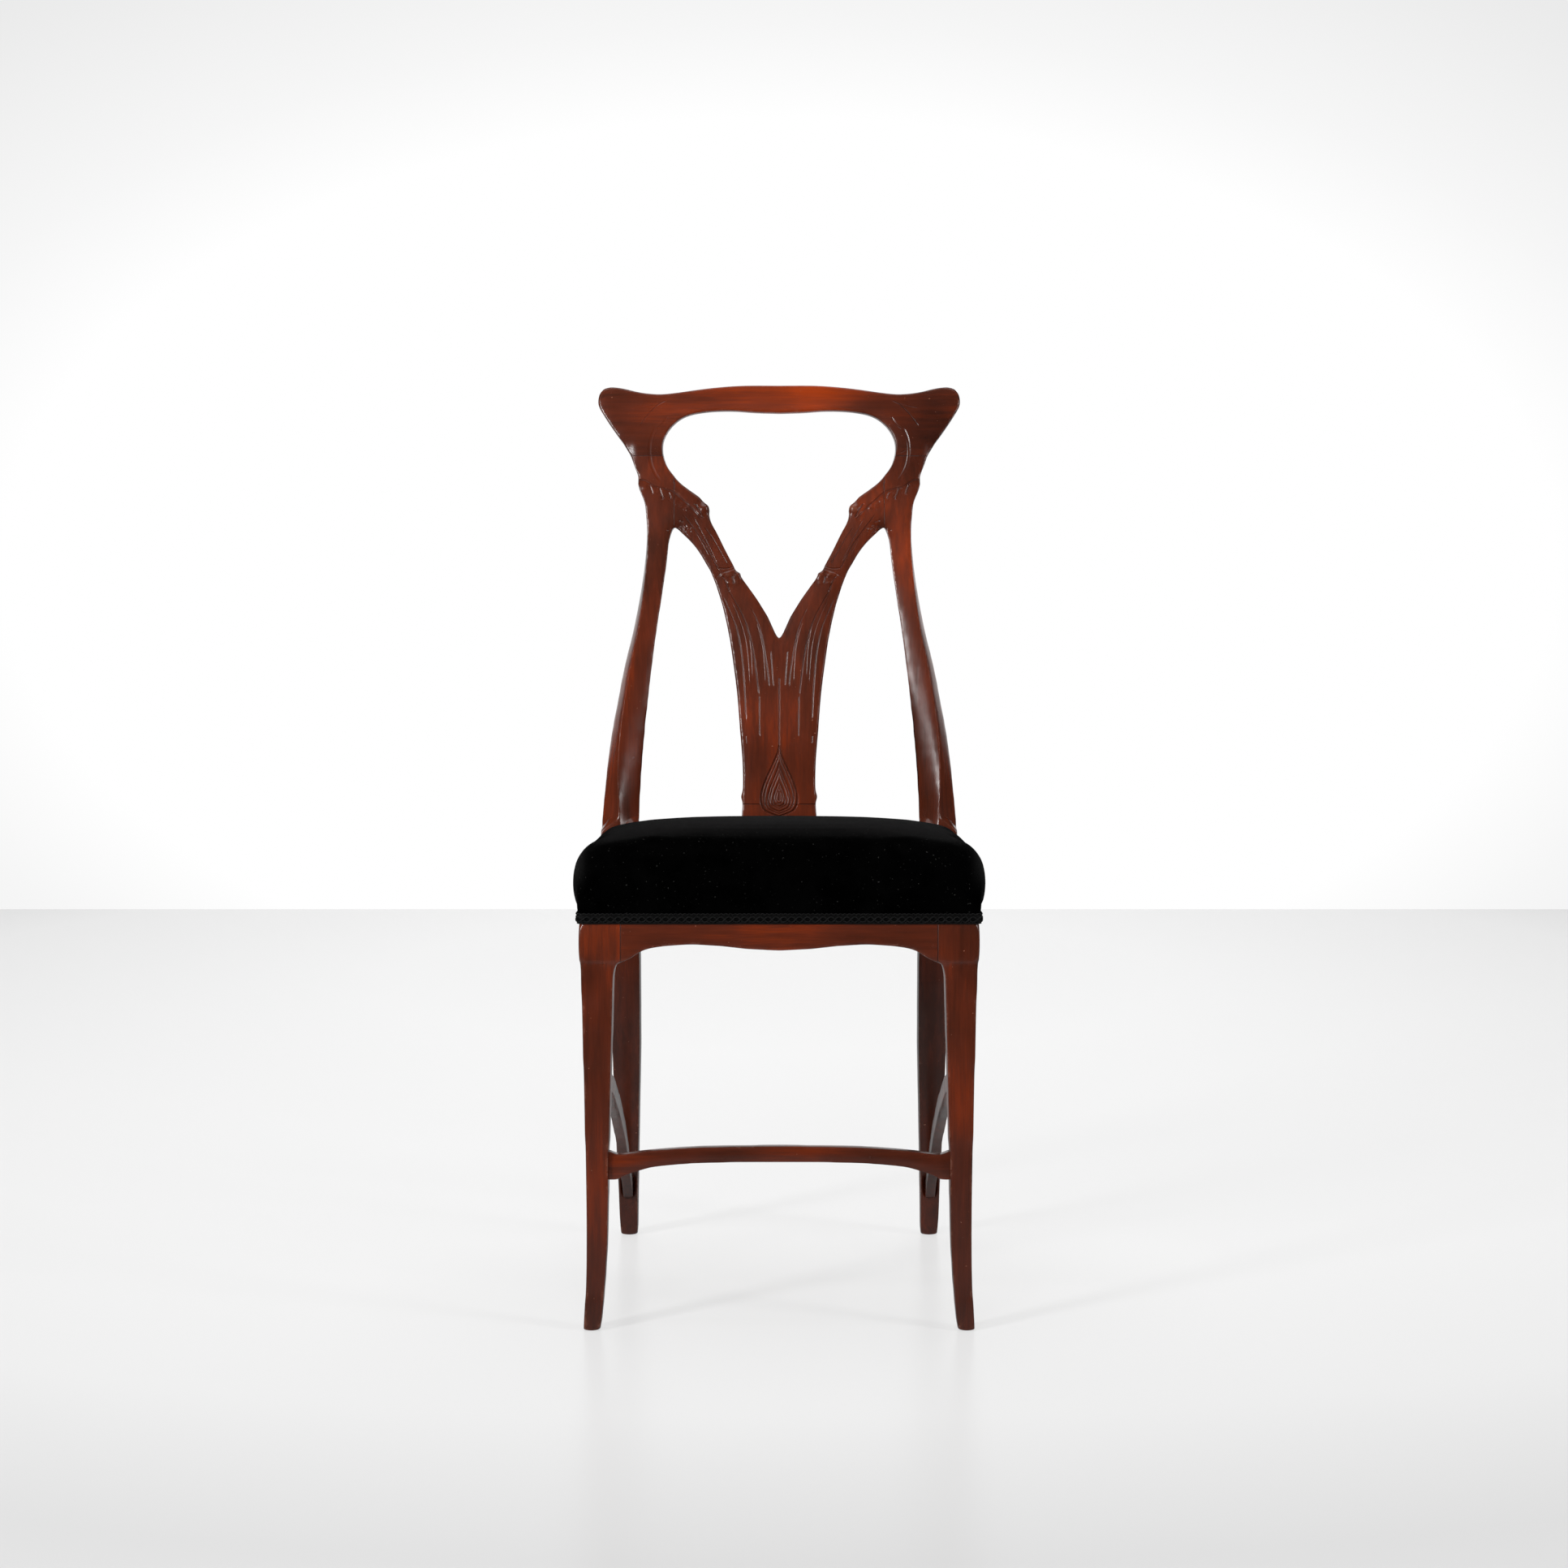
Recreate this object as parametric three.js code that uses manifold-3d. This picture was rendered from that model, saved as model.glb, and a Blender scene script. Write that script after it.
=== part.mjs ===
// Lyre back dining chair: a mahogany frame with a carved splat and a stuffed-over velvet seat.
// Millimetres, +Z up, the front towards -Y. Depths are measured back from the face of the front legs.

import * as THREE from 'three';
import { mergeVertices } from 'three/addons/utils/BufferGeometryUtils.js';
import Module from 'manifold-3d';

const wasm = await Module();
wasm.setup();

// The whole chair
const seatWidth = 396.8; // over the front legs
const seatDepth = 354; // face of the front legs to face of the back posts
const railTop = 440; // top of the seat rails above the floor
const backHeight = 976.6; // top of the crest above the floor
const fit = 0.3; // gap between pieces that meet
const overrun = 6; // how far a cutting solid runs past what it cuts

// Seat rails
const railThickness = 22;
const railHeight = 61; // of the side and back rails
const frontRailHeight = 59; // where the wavy lower edge is highest
const frontRailDip = 18; // how far the lower edge comes down at the legs
const tenonThickness = 8;
const tenonLength = 22;
const tenonShoulder = 9; // rail left above and below a tenon
const backRailSetback = 2; // back rail behind the face of the posts
const rebateDepth = 1.5; // of the rails' faces under the cover
const rebateCorner = 6;

// Front legs
const blockSide = 42;
const blockHeight = 75;
const legTopSide = 33.6;
const footSide = 18.5;
const legInset = 1.9; // leg behind the outer faces of its block
const coveHeight = 13; // hollow under the block on the inner sides
const footFlare = 5.3;
const flareHeight = 110;

// Back legs and posts
const postProud = 2; // outside of a post past the side rail
const postBlockWidth = 43.5;
const postBlockDepth = 40;
const postBlockFoot = 73; // block below the top of the rails
const postSpring = 40; // height in which the leg widens to the block
const postBlockRise = 30; // block above the top of the rails
const postTurnRise = 14; // height in which the block turns on its edge
const backFootSide = 20.5;
const backLegWidth = 32.6;
const backLegDepth = 35;
const backLegTaper = 230; // height where the back leg reaches its full width
const backLegCentre = 28.1; // centre of the leg from the outside of the post
const legKick = 74.7; // foot behind the face of the post
const waistWidth = 26.7;
const waistInset = 62.3; // centre of the post at its waist, from the outside at the seat
const backThickness = 22; // of the posts at the crest, and of the crest
const seatLean = 0.07; // slope of the back at the seat
const crestLean = 0.23; // slope of the back at the top

// Crest
const crestRise = 83; // top of the crest above its joints with the posts
const holdInset = 67.3; // side of the hand-hold, from the outside of the post at the seat
const holdHeight = 52.1; // of its top above the joints
const neckWidth = 37.7; // of the crest at the joints
const earReach = 38.8; // ear past the joint
const crestRound = 3;
const dowelDiameter = 8;
const dowelLength = 36;
const dowelSpread = 8; // of a pair of dowels, either side of the middle of the neck

// Lyre splat and its shoe
const armInset = 80.6; // joint of splat and post, from the outside of the post at the seat
const armHead = 106.6; // top of that joint below the top of the crest
const armEnd = 57; // height of that joint
const shoeHeight = 59; // joint of splat and shoe above the rails
const splatThickness = 14;
const armThickness = 20;
const splatRound = 3;
const shoeFlare = 4; // of each side of the shoe, down to its foot
const shoeThickness = 21;
const splatTenonHalf = 28;
const splatTenonDrop = 20;

// Stretchers
const frontStretcherTop = 181.4; // above the floor, in the middle
const frontStretcherHeight = 16.8; // in the middle
const frontStretcherDrop = 8.4; // of the top, towards the ends
const frontStretcherEnd = 29; // height of the end at the leg
const frontStretcherEndDrop = 5; // top of the end below the middle
const frontStretcherThickness = 13;
const stretcherHousing = 8; // how far a stretcher runs into a leg
const sideStretcherFront = 251; // top of the side stretcher at the front leg
const sideStretcherBack = 76; // and at the back leg
const sideStretcherHeight = 19;
const sideStretcherThickness = 12;

// Corner blocks and their screws
const cornerBlockLeg = 40;
const cornerBlockHeight = 38;
const cornerBlockDrop = 18; // top of the block below the top of the rails
const screwHeadRadius = 4;
const screwHeadHeight = 3;
const screwShankRadius = 2.1;
const screwLength = 26;
const screwSeat = 11; // head to the rail's face
const screwSpread = 22; // screw from the leg
const screwClearance = 0.3;

// Seat
const webbingWidth = 50;
const webbingThickness = 1.2;
const webbingEndInset = 5; // end of a strap from the outside of the frame
const hessianThickness = 1;
const hessianInset = 7;
const velvetThickness = 1;
const coverDrop = 37.7; // lower edge of the cover below the top of the rails
const sideBulge = 7.1; // of the cushion past the rails
const drawnHeight = 27; // from the drawn-in foot to full bulge
const shoulderHeight = 44.3; // shoulder of the cushion above the rails, at the front
const shoulderFall = 39; // height of the rounded shoulder
const shoulderRound = 27; // its width
const crown = 17.6; // of the middle above the edge of the shoulder
const backDrop = 8; // of the shoulder at the back
const cushionCorner = 27.4;
const gimpHeight = 15;
const gimpThickness = 1.6;

// Places that several pieces share
const seatHalf = seatWidth / 2;
const postOuter = seatHalf + postProud;
const postBlockInner = postOuter - postBlockWidth;
const backRailFace = seatDepth + backRailSetback;
const frameBack = backRailFace + railThickness;
const blockTop = railTop + postBlockRise;
const turnTop = blockTop + postTurnRise;
const crestJoint = backHeight - crestRise;
const armTop = backHeight - armHead;
const armFoot = armTop - armEnd;
const splatFoot = railTop + shoeHeight;
const armReach = postOuter - armInset;
const holdHalf = postOuter - holdInset;
const neckShare = 0.992; // the hand-hold is a little narrower at the joints than at its widest
const neckInner = neckShare * holdHalf;
const neckOuter = neckInner + neckWidth;
const splatFootShare = 0.347; // of the reach of the arms
const shoeTopHalf = splatFootShare * armReach;
const shoeFootHalf = shoeTopHalf + shoeFlare;
const legCentre = legInset + legTopSide / 2; // of a front leg, from the outer faces of its block
const coverFoot = railTop - coverDrop;
const hessianFoot = railTop + 3 * fit + 2 * webbingThickness;
const padFoot = hessianFoot + hessianThickness + fit;
const coverDrawn = fit + velvetThickness - rebateDepth; // outside of the cover at its foot, past the rails
const gimpLean = 0.14 * sideBulge; // of the cover and the braid, over the braid's height

// Face of the back at a height: upright at the seat, leaning more and more towards the crest
function backFace(z) {
  const rise = Math.max(z - blockTop, 0);
  const bend = (crestLean - seatLean) / (2 * (backHeight - blockTop));
  return seatDepth + seatLean * rise + bend * rise * rise;
}

// Face of the back leg at a height: it sweeps back to the foot
function backLegFace(z) {
  const sweep = Math.max(1 - z / (railTop - postBlockFoot), 0);
  return seatDepth + legKick * sweep ** 1.7;
}

// A geometry as a closed solid
function solid(geometry) {
  const bare = new THREE.BufferGeometry();
  bare.setAttribute('position', geometry.getAttribute('position'));
  bare.setIndex(geometry.getIndex());
  const merged = mergeVertices(bare);
  return new wasm.Manifold(new wasm.Mesh({
    numProp: 3,
    vertProperties: merged.getAttribute('position').array,
    triVerts: new Uint32Array(merged.getIndex().array),
  }));
}

// A closed solid as a geometry
function surface(body) {
  const mesh = body.getMesh();
  const geometry = new THREE.BufferGeometry();
  geometry.setAttribute('position', new THREE.BufferAttribute(mesh.vertProperties, 3));
  geometry.setIndex(new THREE.BufferAttribute(mesh.triVerts, 1));
  return geometry;
}

// Faces between two rings of as many points; a point may be named twice where a ring closes up
function skin(faces, from, to) {
  from.forEach((a, i) => {
    const j = (i + 1) % from.length;
    const pair = [[a, from[j], to[j]], [a, to[j], to[i]]];
    faces.push(...pair.filter(([p, q, r]) => p !== q && q !== r && r !== p));
  });
}

// A fan of faces over a ring, seen from outside
function cap(faces, ring) {
  for (let i = 1; i < ring.length - 1; i++) faces.push([ring[0], ring[i], ring[i + 1]]);
}

// Points and faces as a closed solid, turned so that its faces point out
function closed(points, faces) {
  const volume = faces.reduce((sum, [a, b, c]) => sum + points[a].dot(points[b].clone().cross(points[c])), 0);
  if (volume < 0) faces.forEach((face) => face.reverse());
  const geometry = new THREE.BufferGeometry().setFromPoints(points);
  geometry.setIndex(faces.flat());
  return solid(geometry);
}

// A solid through a row of rings
function loft(rings) {
  const faces = [];
  const named = rings.map((ring, r) => ring.map((unused, i) => r * ring.length + i));
  for (let r = 1; r < named.length; r++) skin(faces, named[r - 1], named[r]);
  cap(faces, [...named[0]].reverse());
  cap(faces, named[named.length - 1]);
  return closed(rings.flat(), faces);
}

function box(x0, x1, y0, y1, z0, z1) {
  const geometry = new THREE.BoxGeometry(x1 - x0, y1 - y0, z1 - z0);
  geometry.translate((x0 + x1) / 2, (y0 + y1) / 2, (z0 + z1) / 2);
  return solid(geometry);
}

// A round bar along a direction, its middle at a place
function bar(radius, length, place, direction, sides = 12) {
  const geometry = new THREE.CylinderGeometry(radius, radius, length, sides);
  const turn = new THREE.Quaternion().setFromUnitVectors(new THREE.Vector3(0, 1, 0), direction);
  geometry.applyQuaternion(turn);
  geometry.translate(place.x, place.y, place.z);
  return solid(geometry);
}

const point = (x, y, z) => new THREE.Vector3(x, y, z);

// Points on a smooth curve through a few chosen ones
function smooth(points, steps) {
  const curve = new THREE.SplineCurve(points.map(([x, y]) => new THREE.Vector2(x, y)));
  return curve.getPoints(steps).map((p) => [p.x, p.y]);
}

// Rows of values with rows added between them, so that each value changes smoothly
function filledIn(rows, steps) {
  const last = rows.length - 1;
  const full = [];
  for (let i = 0; i < last * steps; i++) {
    const k = Math.floor(i / steps);
    const t = (i % steps) / steps;
    const [a, b, c, d] = [k - 1, k, k + 1, k + 2].map((j) => rows[THREE.MathUtils.clamp(j, 0, last)]);
    full.push(b.map((value, m) => value + 0.5 * t * (c[m] - a[m]
      + t * (2 * a[m] - 5 * value + 4 * c[m] - d[m] + t * (3 * value - a[m] - 3 * c[m] + d[m])))));
  }
  return [...full, rows[last]];
}

// A board with an outline seen from the front, from one depth back to another
function board(outline, front, back, round = 0) {
  const shape = new THREE.Shape(outline.map(([x, z]) => new THREE.Vector2(x, z)));
  const geometry = new THREE.ExtrudeGeometry(shape, {
    depth: back - front - 2 * round,
    bevelEnabled: round > 0,
    bevelThickness: round,
    bevelSize: round,
    bevelOffset: -round,
    bevelSegments: 2,
    steps: 1,
  });
  geometry.rotateX(Math.PI / 2);
  geometry.translate(0, back - round, 0);
  return geometry;
}

// The right half of an outline, from its top middle round to its bottom middle, with its mirror image
function bothHalves(half) {
  const inner = half.filter(([x]) => x > 0);
  return [...half, ...inner.reverse().map(([x, z]) => [-x, z])];
}

// A square section with its sides at four places
function squareRing(x0, x1, y0, y1, z) {
  return [point(x0, y0, z), point(x1, y0, z), point(x1, y1, z), point(x0, y1, z)];
}

// A section of a post: width and depth, its centre, and how far it is turned on its edge
function postRing(x, y, width, depth, turn, z) {
  const axis = new THREE.Vector3(0, 0, 1);
  const w = width / 2;
  const d = depth / 2;
  const corners = [[-w, -d], [0, -d], [w, -d], [w, 0], [w, d], [0, d], [-w, d], [-w, 0]];
  return corners.map(([px, py]) => point(px, py, 0).applyAxisAngle(axis, -turn).add(point(x, y, z)));
}

// The outline of the seat from above, some way past the rails, with round corners
function seatOutline(out, corner) {
  const x = seatHalf + out;
  const y0 = -out;
  const y1 = frameBack + out;
  const turns = 4;
  const between = 2;
  const r = corner;
  const centres = [[x - r, y0 + r, -90], [x - r, y1 - r, 0], [-x + r, y1 - r, 90], [-x + r, y0 + r, 180]];
  const arcs = centres.map(([cx, cy, start]) => {
    const arc = [];
    for (let i = 0; i <= turns; i++) {
      const angle = THREE.MathUtils.degToRad(start + (90 * i) / turns);
      arc.push([cx + r * Math.cos(angle), cy + r * Math.sin(angle)]);
    }
    return arc;
  });
  const outline = [];
  arcs.forEach((arc, k) => {
    outline.push(...arc);
    const [ax, ay] = arc[turns];
    const [bx, by] = arcs[(k + 1) % arcs.length][0];
    for (let i = 1; i <= between; i++) {
      const share = i / (between + 1);
      outline.push([ax + share * (bx - ax), ay + share * (by - ay)]);
    }
  });
  return outline;
}

// An upright block with the seat's outline
function seatBlock(out, corner, foot, top) {
  return loft([foot, top].map((z) => seatOutline(out, corner).map(([x, y]) => point(x, y, z))));
}

// What is cut off the faces of the rails and the front legs, where the cover and the braid lie
function rebate() {
  const foot = coverFoot - fit;
  const whole = box(-seatWidth, seatWidth, -seatDepth, frameBack + seatDepth, foot, railTop + overrun);
  return whole.subtract(seatBlock(-rebateDepth, rebateCorner, foot - overrun, railTop + 2 * overrun));
}

// Front rail with its tenons; `grown` is the space it needs in the legs
function frontRail(grown = 0) {
  const half = seatHalf - blockSide - fit + grown;
  const crestOfWave = railTop - frontRailHeight;
  const waveShares = [
    [1, 1], [0.93, 0.71], [0.87, 0.34], [0.77, 0.13], [0.58, 0], [0.38, 0.07], [0.19, 0.25], [0, 0.32],
  ];
  const wave = smooth(waveShares.map(([x, z]) => [x * half, crestOfWave - z * frontRailDip - grown]), 16);
  const top = railTop + grown;
  const outline = bothHalves([[0, top], [half, top], ...wave]);
  const body = solid(board(outline, -grown, railThickness + grown));
  const y = railThickness / 2;
  const foot = crestOfWave + tenonShoulder;
  return body.add(box(
    -half - tenonLength, half + tenonLength,
    y - tenonThickness / 2 - grown, y + tenonThickness / 2 + grown,
    foot - grown, railTop - tenonShoulder + grown,
  ));
}

function backRail(grown = 0) {
  const half = postBlockInner - fit + grown;
  const y = backRailFace + railThickness / 2;
  const foot = railTop - railHeight;
  const body = box(-half, half, backRailFace - grown, frameBack + grown, foot - grown, railTop + grown);
  return body.add(box(
    -half - tenonLength, half + tenonLength,
    y - tenonThickness / 2 - grown, y + tenonThickness / 2 + grown,
    foot + tenonShoulder - grown, railTop - tenonShoulder + grown,
  ));
}

function sideRail(grown = 0) {
  const front = blockSide + fit - grown;
  const back = seatDepth - fit + grown;
  const inner = seatHalf - railThickness;
  const x = seatHalf - railThickness / 2;
  const foot = railTop - railHeight;
  const body = box(inner - grown, seatHalf + grown, front, back, foot - grown, railTop + grown);
  return body.add(box(
    x - tenonThickness / 2 - grown, x + tenonThickness / 2 + grown,
    front - tenonLength, back + tenonLength,
    foot + tenonShoulder - grown, railTop - tenonShoulder + grown,
  ));
}

// Side of the front leg at a height
function legSide(z) {
  const t = z / (railTop - blockHeight);
  return footSide + (legTopSide - footSide) * (0.66 * t + 0.34 * t * t);
}

// Centre of the front leg at a height, in from the outer faces of its block
function legAxis(z) {
  const flare = Math.max(1 - z / flareHeight, 0);
  return legCentre - footFlare * flare * flare;
}

function frontLeg() {
  const blockFoot = railTop - blockHeight;
  const legTop = blockFoot - coveHeight;
  const heightShares = [[0], [0.06], [0.12], [0.18], [0.25], [0.32], [0.45], [0.6], [0.75], [0.88], [1]];
  const rings = filledIn(heightShares, 2).map(([share]) => {
    const z = share * legTop;
    const c = legAxis(z);
    const h = legSide(z) / 2;
    return squareRing(seatHalf - c - h, seatHalf - c + h, c - h, c + h, z);
  });
  // the hollow under the block, a quarter round on the two inner sides
  const near = legCentre - legSide(legTop) / 2;
  const far = legCentre + legSide(legTop) / 2;
  for (const share of [0.35, 0.65, 0.85]) {
    const out = far + (blockSide - far) * (1 - Math.sqrt(1 - share * share));
    rings.push(squareRing(seatHalf - out, seatHalf - near, near, out, legTop + share * (blockFoot - legTop)));
  }
  const lip = blockSide - (blockSide - far) * 0.2;
  rings.push(squareRing(seatHalf - lip, seatHalf - near, near, lip, blockFoot - legInset * 0.6));
  rings.push(squareRing(seatHalf - blockSide, seatHalf, 0, blockSide, blockFoot + legInset * 0.4));
  rings.push(squareRing(seatHalf - blockSide, seatHalf, 0, blockSide, railTop));
  return loft(rings);
}

function backPost() {
  const rings = [];
  const legX = postOuter - backLegCentre;
  const blockFoot = railTop - postBlockFoot;
  const heightShares = [[0], [0.11], [0.22], [0.34], [0.47], [0.6], [0.8], [1]];
  for (const [share] of filledIn(heightShares, 2)) {
    const z = share * (blockFoot - postSpring);
    const grow = Math.min(z / backLegTaper, 1);
    const width = backFootSide + (backLegWidth - backFootSide) * grow;
    const depth = backFootSide + (backLegDepth - backFootSide) * grow;
    rings.push(postRing(legX, backLegFace(z) + depth / 2, width, depth, 0, z));
  }
  const blockX = postOuter - postBlockWidth / 2;
  const blockY = seatDepth + postBlockDepth / 2;
  for (const share of [0.35, 0.65, 0.88]) {
    const z = blockFoot - (1 - share) * postSpring;
    const blend = share * share;
    const depth = backLegDepth + blend * (postBlockDepth - backLegDepth);
    const width = backLegWidth + blend * (postBlockWidth - backLegWidth);
    rings.push(postRing(legX + blend * (blockX - legX), backLegFace(z) + depth / 2, width, depth, 0, z));
  }
  for (const z of [blockFoot, blockTop]) {
    rings.push(postRing(blockX, blockY, postBlockWidth, postBlockDepth, 0, z));
  }
  // above the seat the post stands on its edge and turns square again towards the crest
  // each row: height, centre from seat to waist, width from waist to seat, turn, depth
  const turnShares = [
    [0, 0, 1, 1, 1], [0.09, 0.045, 0.93, 0.78, 0.98], [0.197, 0.11, 0.87, 0.6, 0.93],
    [0.316, 0.21, 0.73, 0.49, 0.8], [0.432, 0.338, 0.56, 0.435, 0.6], [0.55, 0.476, 0.39, 0.41, 0.38],
    [0.668, 0.643, 0.14, 0.36, 0.2], [0.787, 0.798, 0.05, 0.27, 0.12], [0.906, 0.932, 0.02, 0.16, 0.08],
    [1, 1, 0, 0.09, 0.05],
  ];
  const waistX = postOuter - waistInset;
  const waistTop = armFoot - waistWidth * 0.66;
  const edgeDepth = postBlockWidth / Math.SQRT2;
  for (const [h, c, w, t, d] of filledIn(turnShares, 4)) {
    const z = turnTop + h * (waistTop - turnTop);
    const turn = t * Math.PI / 4;
    const seen = waistWidth + w * (postBlockWidth - waistWidth);
    const depth = backThickness + d * (edgeDepth - backThickness);
    const width = (seen - depth * Math.sin(turn)) / Math.cos(turn);
    const halfDepth = (width * Math.sin(turn) + depth * Math.cos(turn)) / 2;
    rings.push(postRing(blockX + c * (waistX - blockX), backFace(z) + halfDepth, width, depth, turn, z));
  }
  // the shoulder: the inner edge is the joint with the splat's arm, then the side of the hand-hold
  // each row: height from waist to crest, outer edge from waist to neck, inner edge from arm to neck
  const shoulderShares = [
    [0.19, -0.04, 0], [0.38, 0.06, 0], [0.46, 0.12, 0], [0.53, 0.28, 0], [0.61, 0.46, 0], [0.665, 0.55, 0],
    [0.695, 0.54, 0], [0.735, 0.51, 0], [0.77, 0.53, 0], [0.83, 0.66, 0.4], [0.9, 0.82, 0.74], [1, 1, 1],
  ];
  const waistOuter = waistX + waistWidth / 2;
  for (const [h, outer, inner] of filledIn(shoulderShares, 2)) {
    const z = waistTop + h * (crestJoint - waistTop);
    const x0 = armReach + inner * (neckInner - armReach);
    const x1 = waistOuter + outer * (neckOuter - waistOuter);
    rings.push(postRing((x0 + x1) / 2, backFace(z) + backThickness / 2, x1 - x0, backThickness, 0, z));
  }
  return loft(rings);
}

// Places of the dowels between post and crest, and of the one between post and arm
function dowel(x, z, direction, grown = 0) {
  const y = backFace(z) + backThickness / 2;
  return bar(dowelDiameter / 2 + grown, dowelLength + 2 * grown, point(x, y, z), direction);
}

const neckMiddle = (neckInner + neckOuter) / 2;
const crestSlope = (backFace(crestJoint + dowelLength) - backFace(crestJoint)) / dowelLength;
const upBack = new THREE.Vector3(0, crestSlope, 1).normalize();
const sideways = new THREE.Vector3(1, 0, 0);
const outerDowel = (grown) => dowel(neckMiddle + dowelSpread, crestJoint, upBack, grown);
const innerDowel = (grown) => dowel(neckMiddle - dowelSpread, crestJoint, upBack, grown);
const armDowel = (grown) => dowel(armReach, armTop - armEnd / 2, sideways, grown);

function crestRail() {
  const joint = crestJoint + fit;
  const run = joint - overrun;
  const top = (share) => joint + share * (crestRise - fit);
  const topShares = [
    [0, 1], [0.2, 1], [0.38, 0.965], [0.58, 0.895], [0.67, 0.878], [0.77, 0.905], [0.85, 0.955],
    [0.905, 0.978],
  ];
  const crestHalf = neckOuter + earReach;
  const topEdge = smooth(topShares.map(([x, z]) => [x * crestHalf, top(z)]), 22);
  const earShares = [
    [0.62, 0.98], [0.82, 0.955], [0.95, 0.885], [1, 0.8], [0.985, 0.7], [0.86, 0.6], [0.74, 0.51],
    [0.6, 0.41], [0.47, 0.325], [0.36, 0.25], [0.24, 0.18], [0.1, 0.07], [0, 0],
  ];
  const ear = smooth(earShares.map(([x, z]) => [neckOuter + x * earReach, top(z)]), 30);
  const holdShares = [
    [neckShare, 0], [0.999, 0.126], [0.998, 0.252], [0.985, 0.388], [0.94, 0.598], [0.87, 0.777],
    [0.79, 0.892], [0.69, 0.955], [0.56, 0.992], [0.39, 1], [0.19, 0.964], [0, 0.95],
  ];
  const hold = smooth(holdShares.map(([x, z]) => [x * holdHalf, joint + z * holdHeight]), 30);
  const half = [...topEdge, ...ear, [neckOuter, run], [neckInner, run], ...hold];
  const geometry = board(bothHalves(half), 0, backThickness, crestRound);
  const places = geometry.getAttribute('position');
  for (let i = 0; i < places.count; i++) {
    places.setY(i, places.getY(i) + backFace(places.getZ(i)));
  }
  const body = solid(geometry);
  const waste = box(-crestHalf, crestHalf, 0, 2 * seatDepth, run - overrun, joint);
  return body.subtract(waste);
}

// A section across the splat, from its outer edge to its inner edge, with rounded sides
function splatRing(outer, inner, thickness) {
  const across = Math.hypot(outer[0] - inner[0], outer[1] - inner[1]);
  const inset = Math.min(splatRound / across, 0.3);
  const spot = (share, depth) => {
    const x = outer[0] + share * (inner[0] - outer[0]);
    const z = outer[1] + share * (inner[1] - outer[1]);
    return point(x, backFace(z) + depth, z);
  };
  const edge = splatRound;
  return [
    spot(inset, thickness), spot(0, thickness - edge), spot(0, edge), spot(inset, 0),
    spot(1 - inset, 0), spot(1, edge), spot(1, thickness - edge), spot(1 - inset, thickness),
  ];
}

// The splat is one board: a trunk that parts into two arms at the crotch
function lyreSplat() {
  const rise = armTop - splatFoot;
  const reach = armReach - fit;
  const foot = splatFoot + fit;
  const at = (x, z) => [x * reach, foot + z * (rise - fit)];
  const points = [];
  const faces = [];
  const add = (ring) => ring.map((spot) => points.push(spot) - 1);
  // each row: half the width, and the height
  const trunkShares = [
    [splatFootShare, 0], [0.361, 0.024], [0.349, 0.046], [0.352, 0.124], [0.376, 0.218], [0.402, 0.326],
    [0.439, 0.42], [0.472, 0.493],
  ];
  const trunk = filledIn(trunkShares, 2).map(([x, z]) => {
    const ring = splatRing(at(x, z), at(-x, z), splatThickness);
    const front = ring[3].clone().setX(0);
    const back = ring[0].clone().setX(0);
    return add([...ring.slice(0, 4), front, ...ring.slice(4), back]);
  });
  for (let i = 1; i < trunk.length; i++) skin(faces, trunk[i - 1], trunk[i]);
  cap(faces, [...trunk[0]].reverse());
  // each row: outer edge across and up, inner edge across and up
  const armShares = [
    [0.505, 0.547, 0.04, 0.526], [0.547, 0.604, 0.1, 0.569], [0.605, 0.663, 0.2, 0.621],
    [0.655, 0.704, 0.3, 0.666], [0.676, 0.716, 0.345, 0.686], [0.702, 0.729, 0.398, 0.699],
    [0.735, 0.749, 0.421, 0.722], [0.79, 0.776, 0.467, 0.749], [0.843, 0.796, 0.513, 0.777],
    [0.885, 0.81, 0.556, 0.806], [0.918, 0.819, 0.597, 0.832], [0.947, 0.828, 0.635, 0.853],
    [0.968, 0.836, 0.66, 0.873], [0.982, 0.841, 0.664, 0.894], [0.99, 0.844, 0.7, 0.914],
    [0.994, 0.845, 0.752, 0.937], [0.996, 0.846, 0.852, 0.959], [0.998, 0.8465, 0.935, 0.979],
    [1, 0.847, 1, 1],
  ];
  const arm = armShares.map(([ox, oz, ix, iz], i) => {
    const grown = (armThickness - splatThickness) * ((i + 1) / armShares.length);
    return splatRing(at(ox, oz), at(ix, iz), splatThickness + grown);
  });
  const crotch = trunk[trunk.length - 1];
  const [frontMiddle, backMiddle] = [crotch[4], crotch[9]];
  let right = [...crotch.slice(0, 4), frontMiddle, frontMiddle, backMiddle, backMiddle];
  let left = [backMiddle, backMiddle, frontMiddle, frontMiddle, ...crotch.slice(5, 9)];
  for (const ring of arm) {
    const nextRight = add(ring);
    const nextLeft = add(ring.map((spot) => point(-spot.x, spot.y, spot.z)).reverse());
    skin(faces, right, nextRight);
    skin(faces, left, nextLeft);
    [right, left] = [nextRight, nextLeft];
  }
  cap(faces, right);
  cap(faces, left);
  return closed(points, faces).add(splatTenon());
}

function splatTenon(grown = 0) {
  const y = backFace(splatFoot) + splatThickness / 2;
  return box(
    -splatTenonHalf - grown, splatTenonHalf + grown,
    y - tenonThickness / 2 - grown, y + tenonThickness / 2 + grown,
    splatFoot - splatTenonDrop - grown, splatFoot + splatRound + fit,
  );
}

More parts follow.
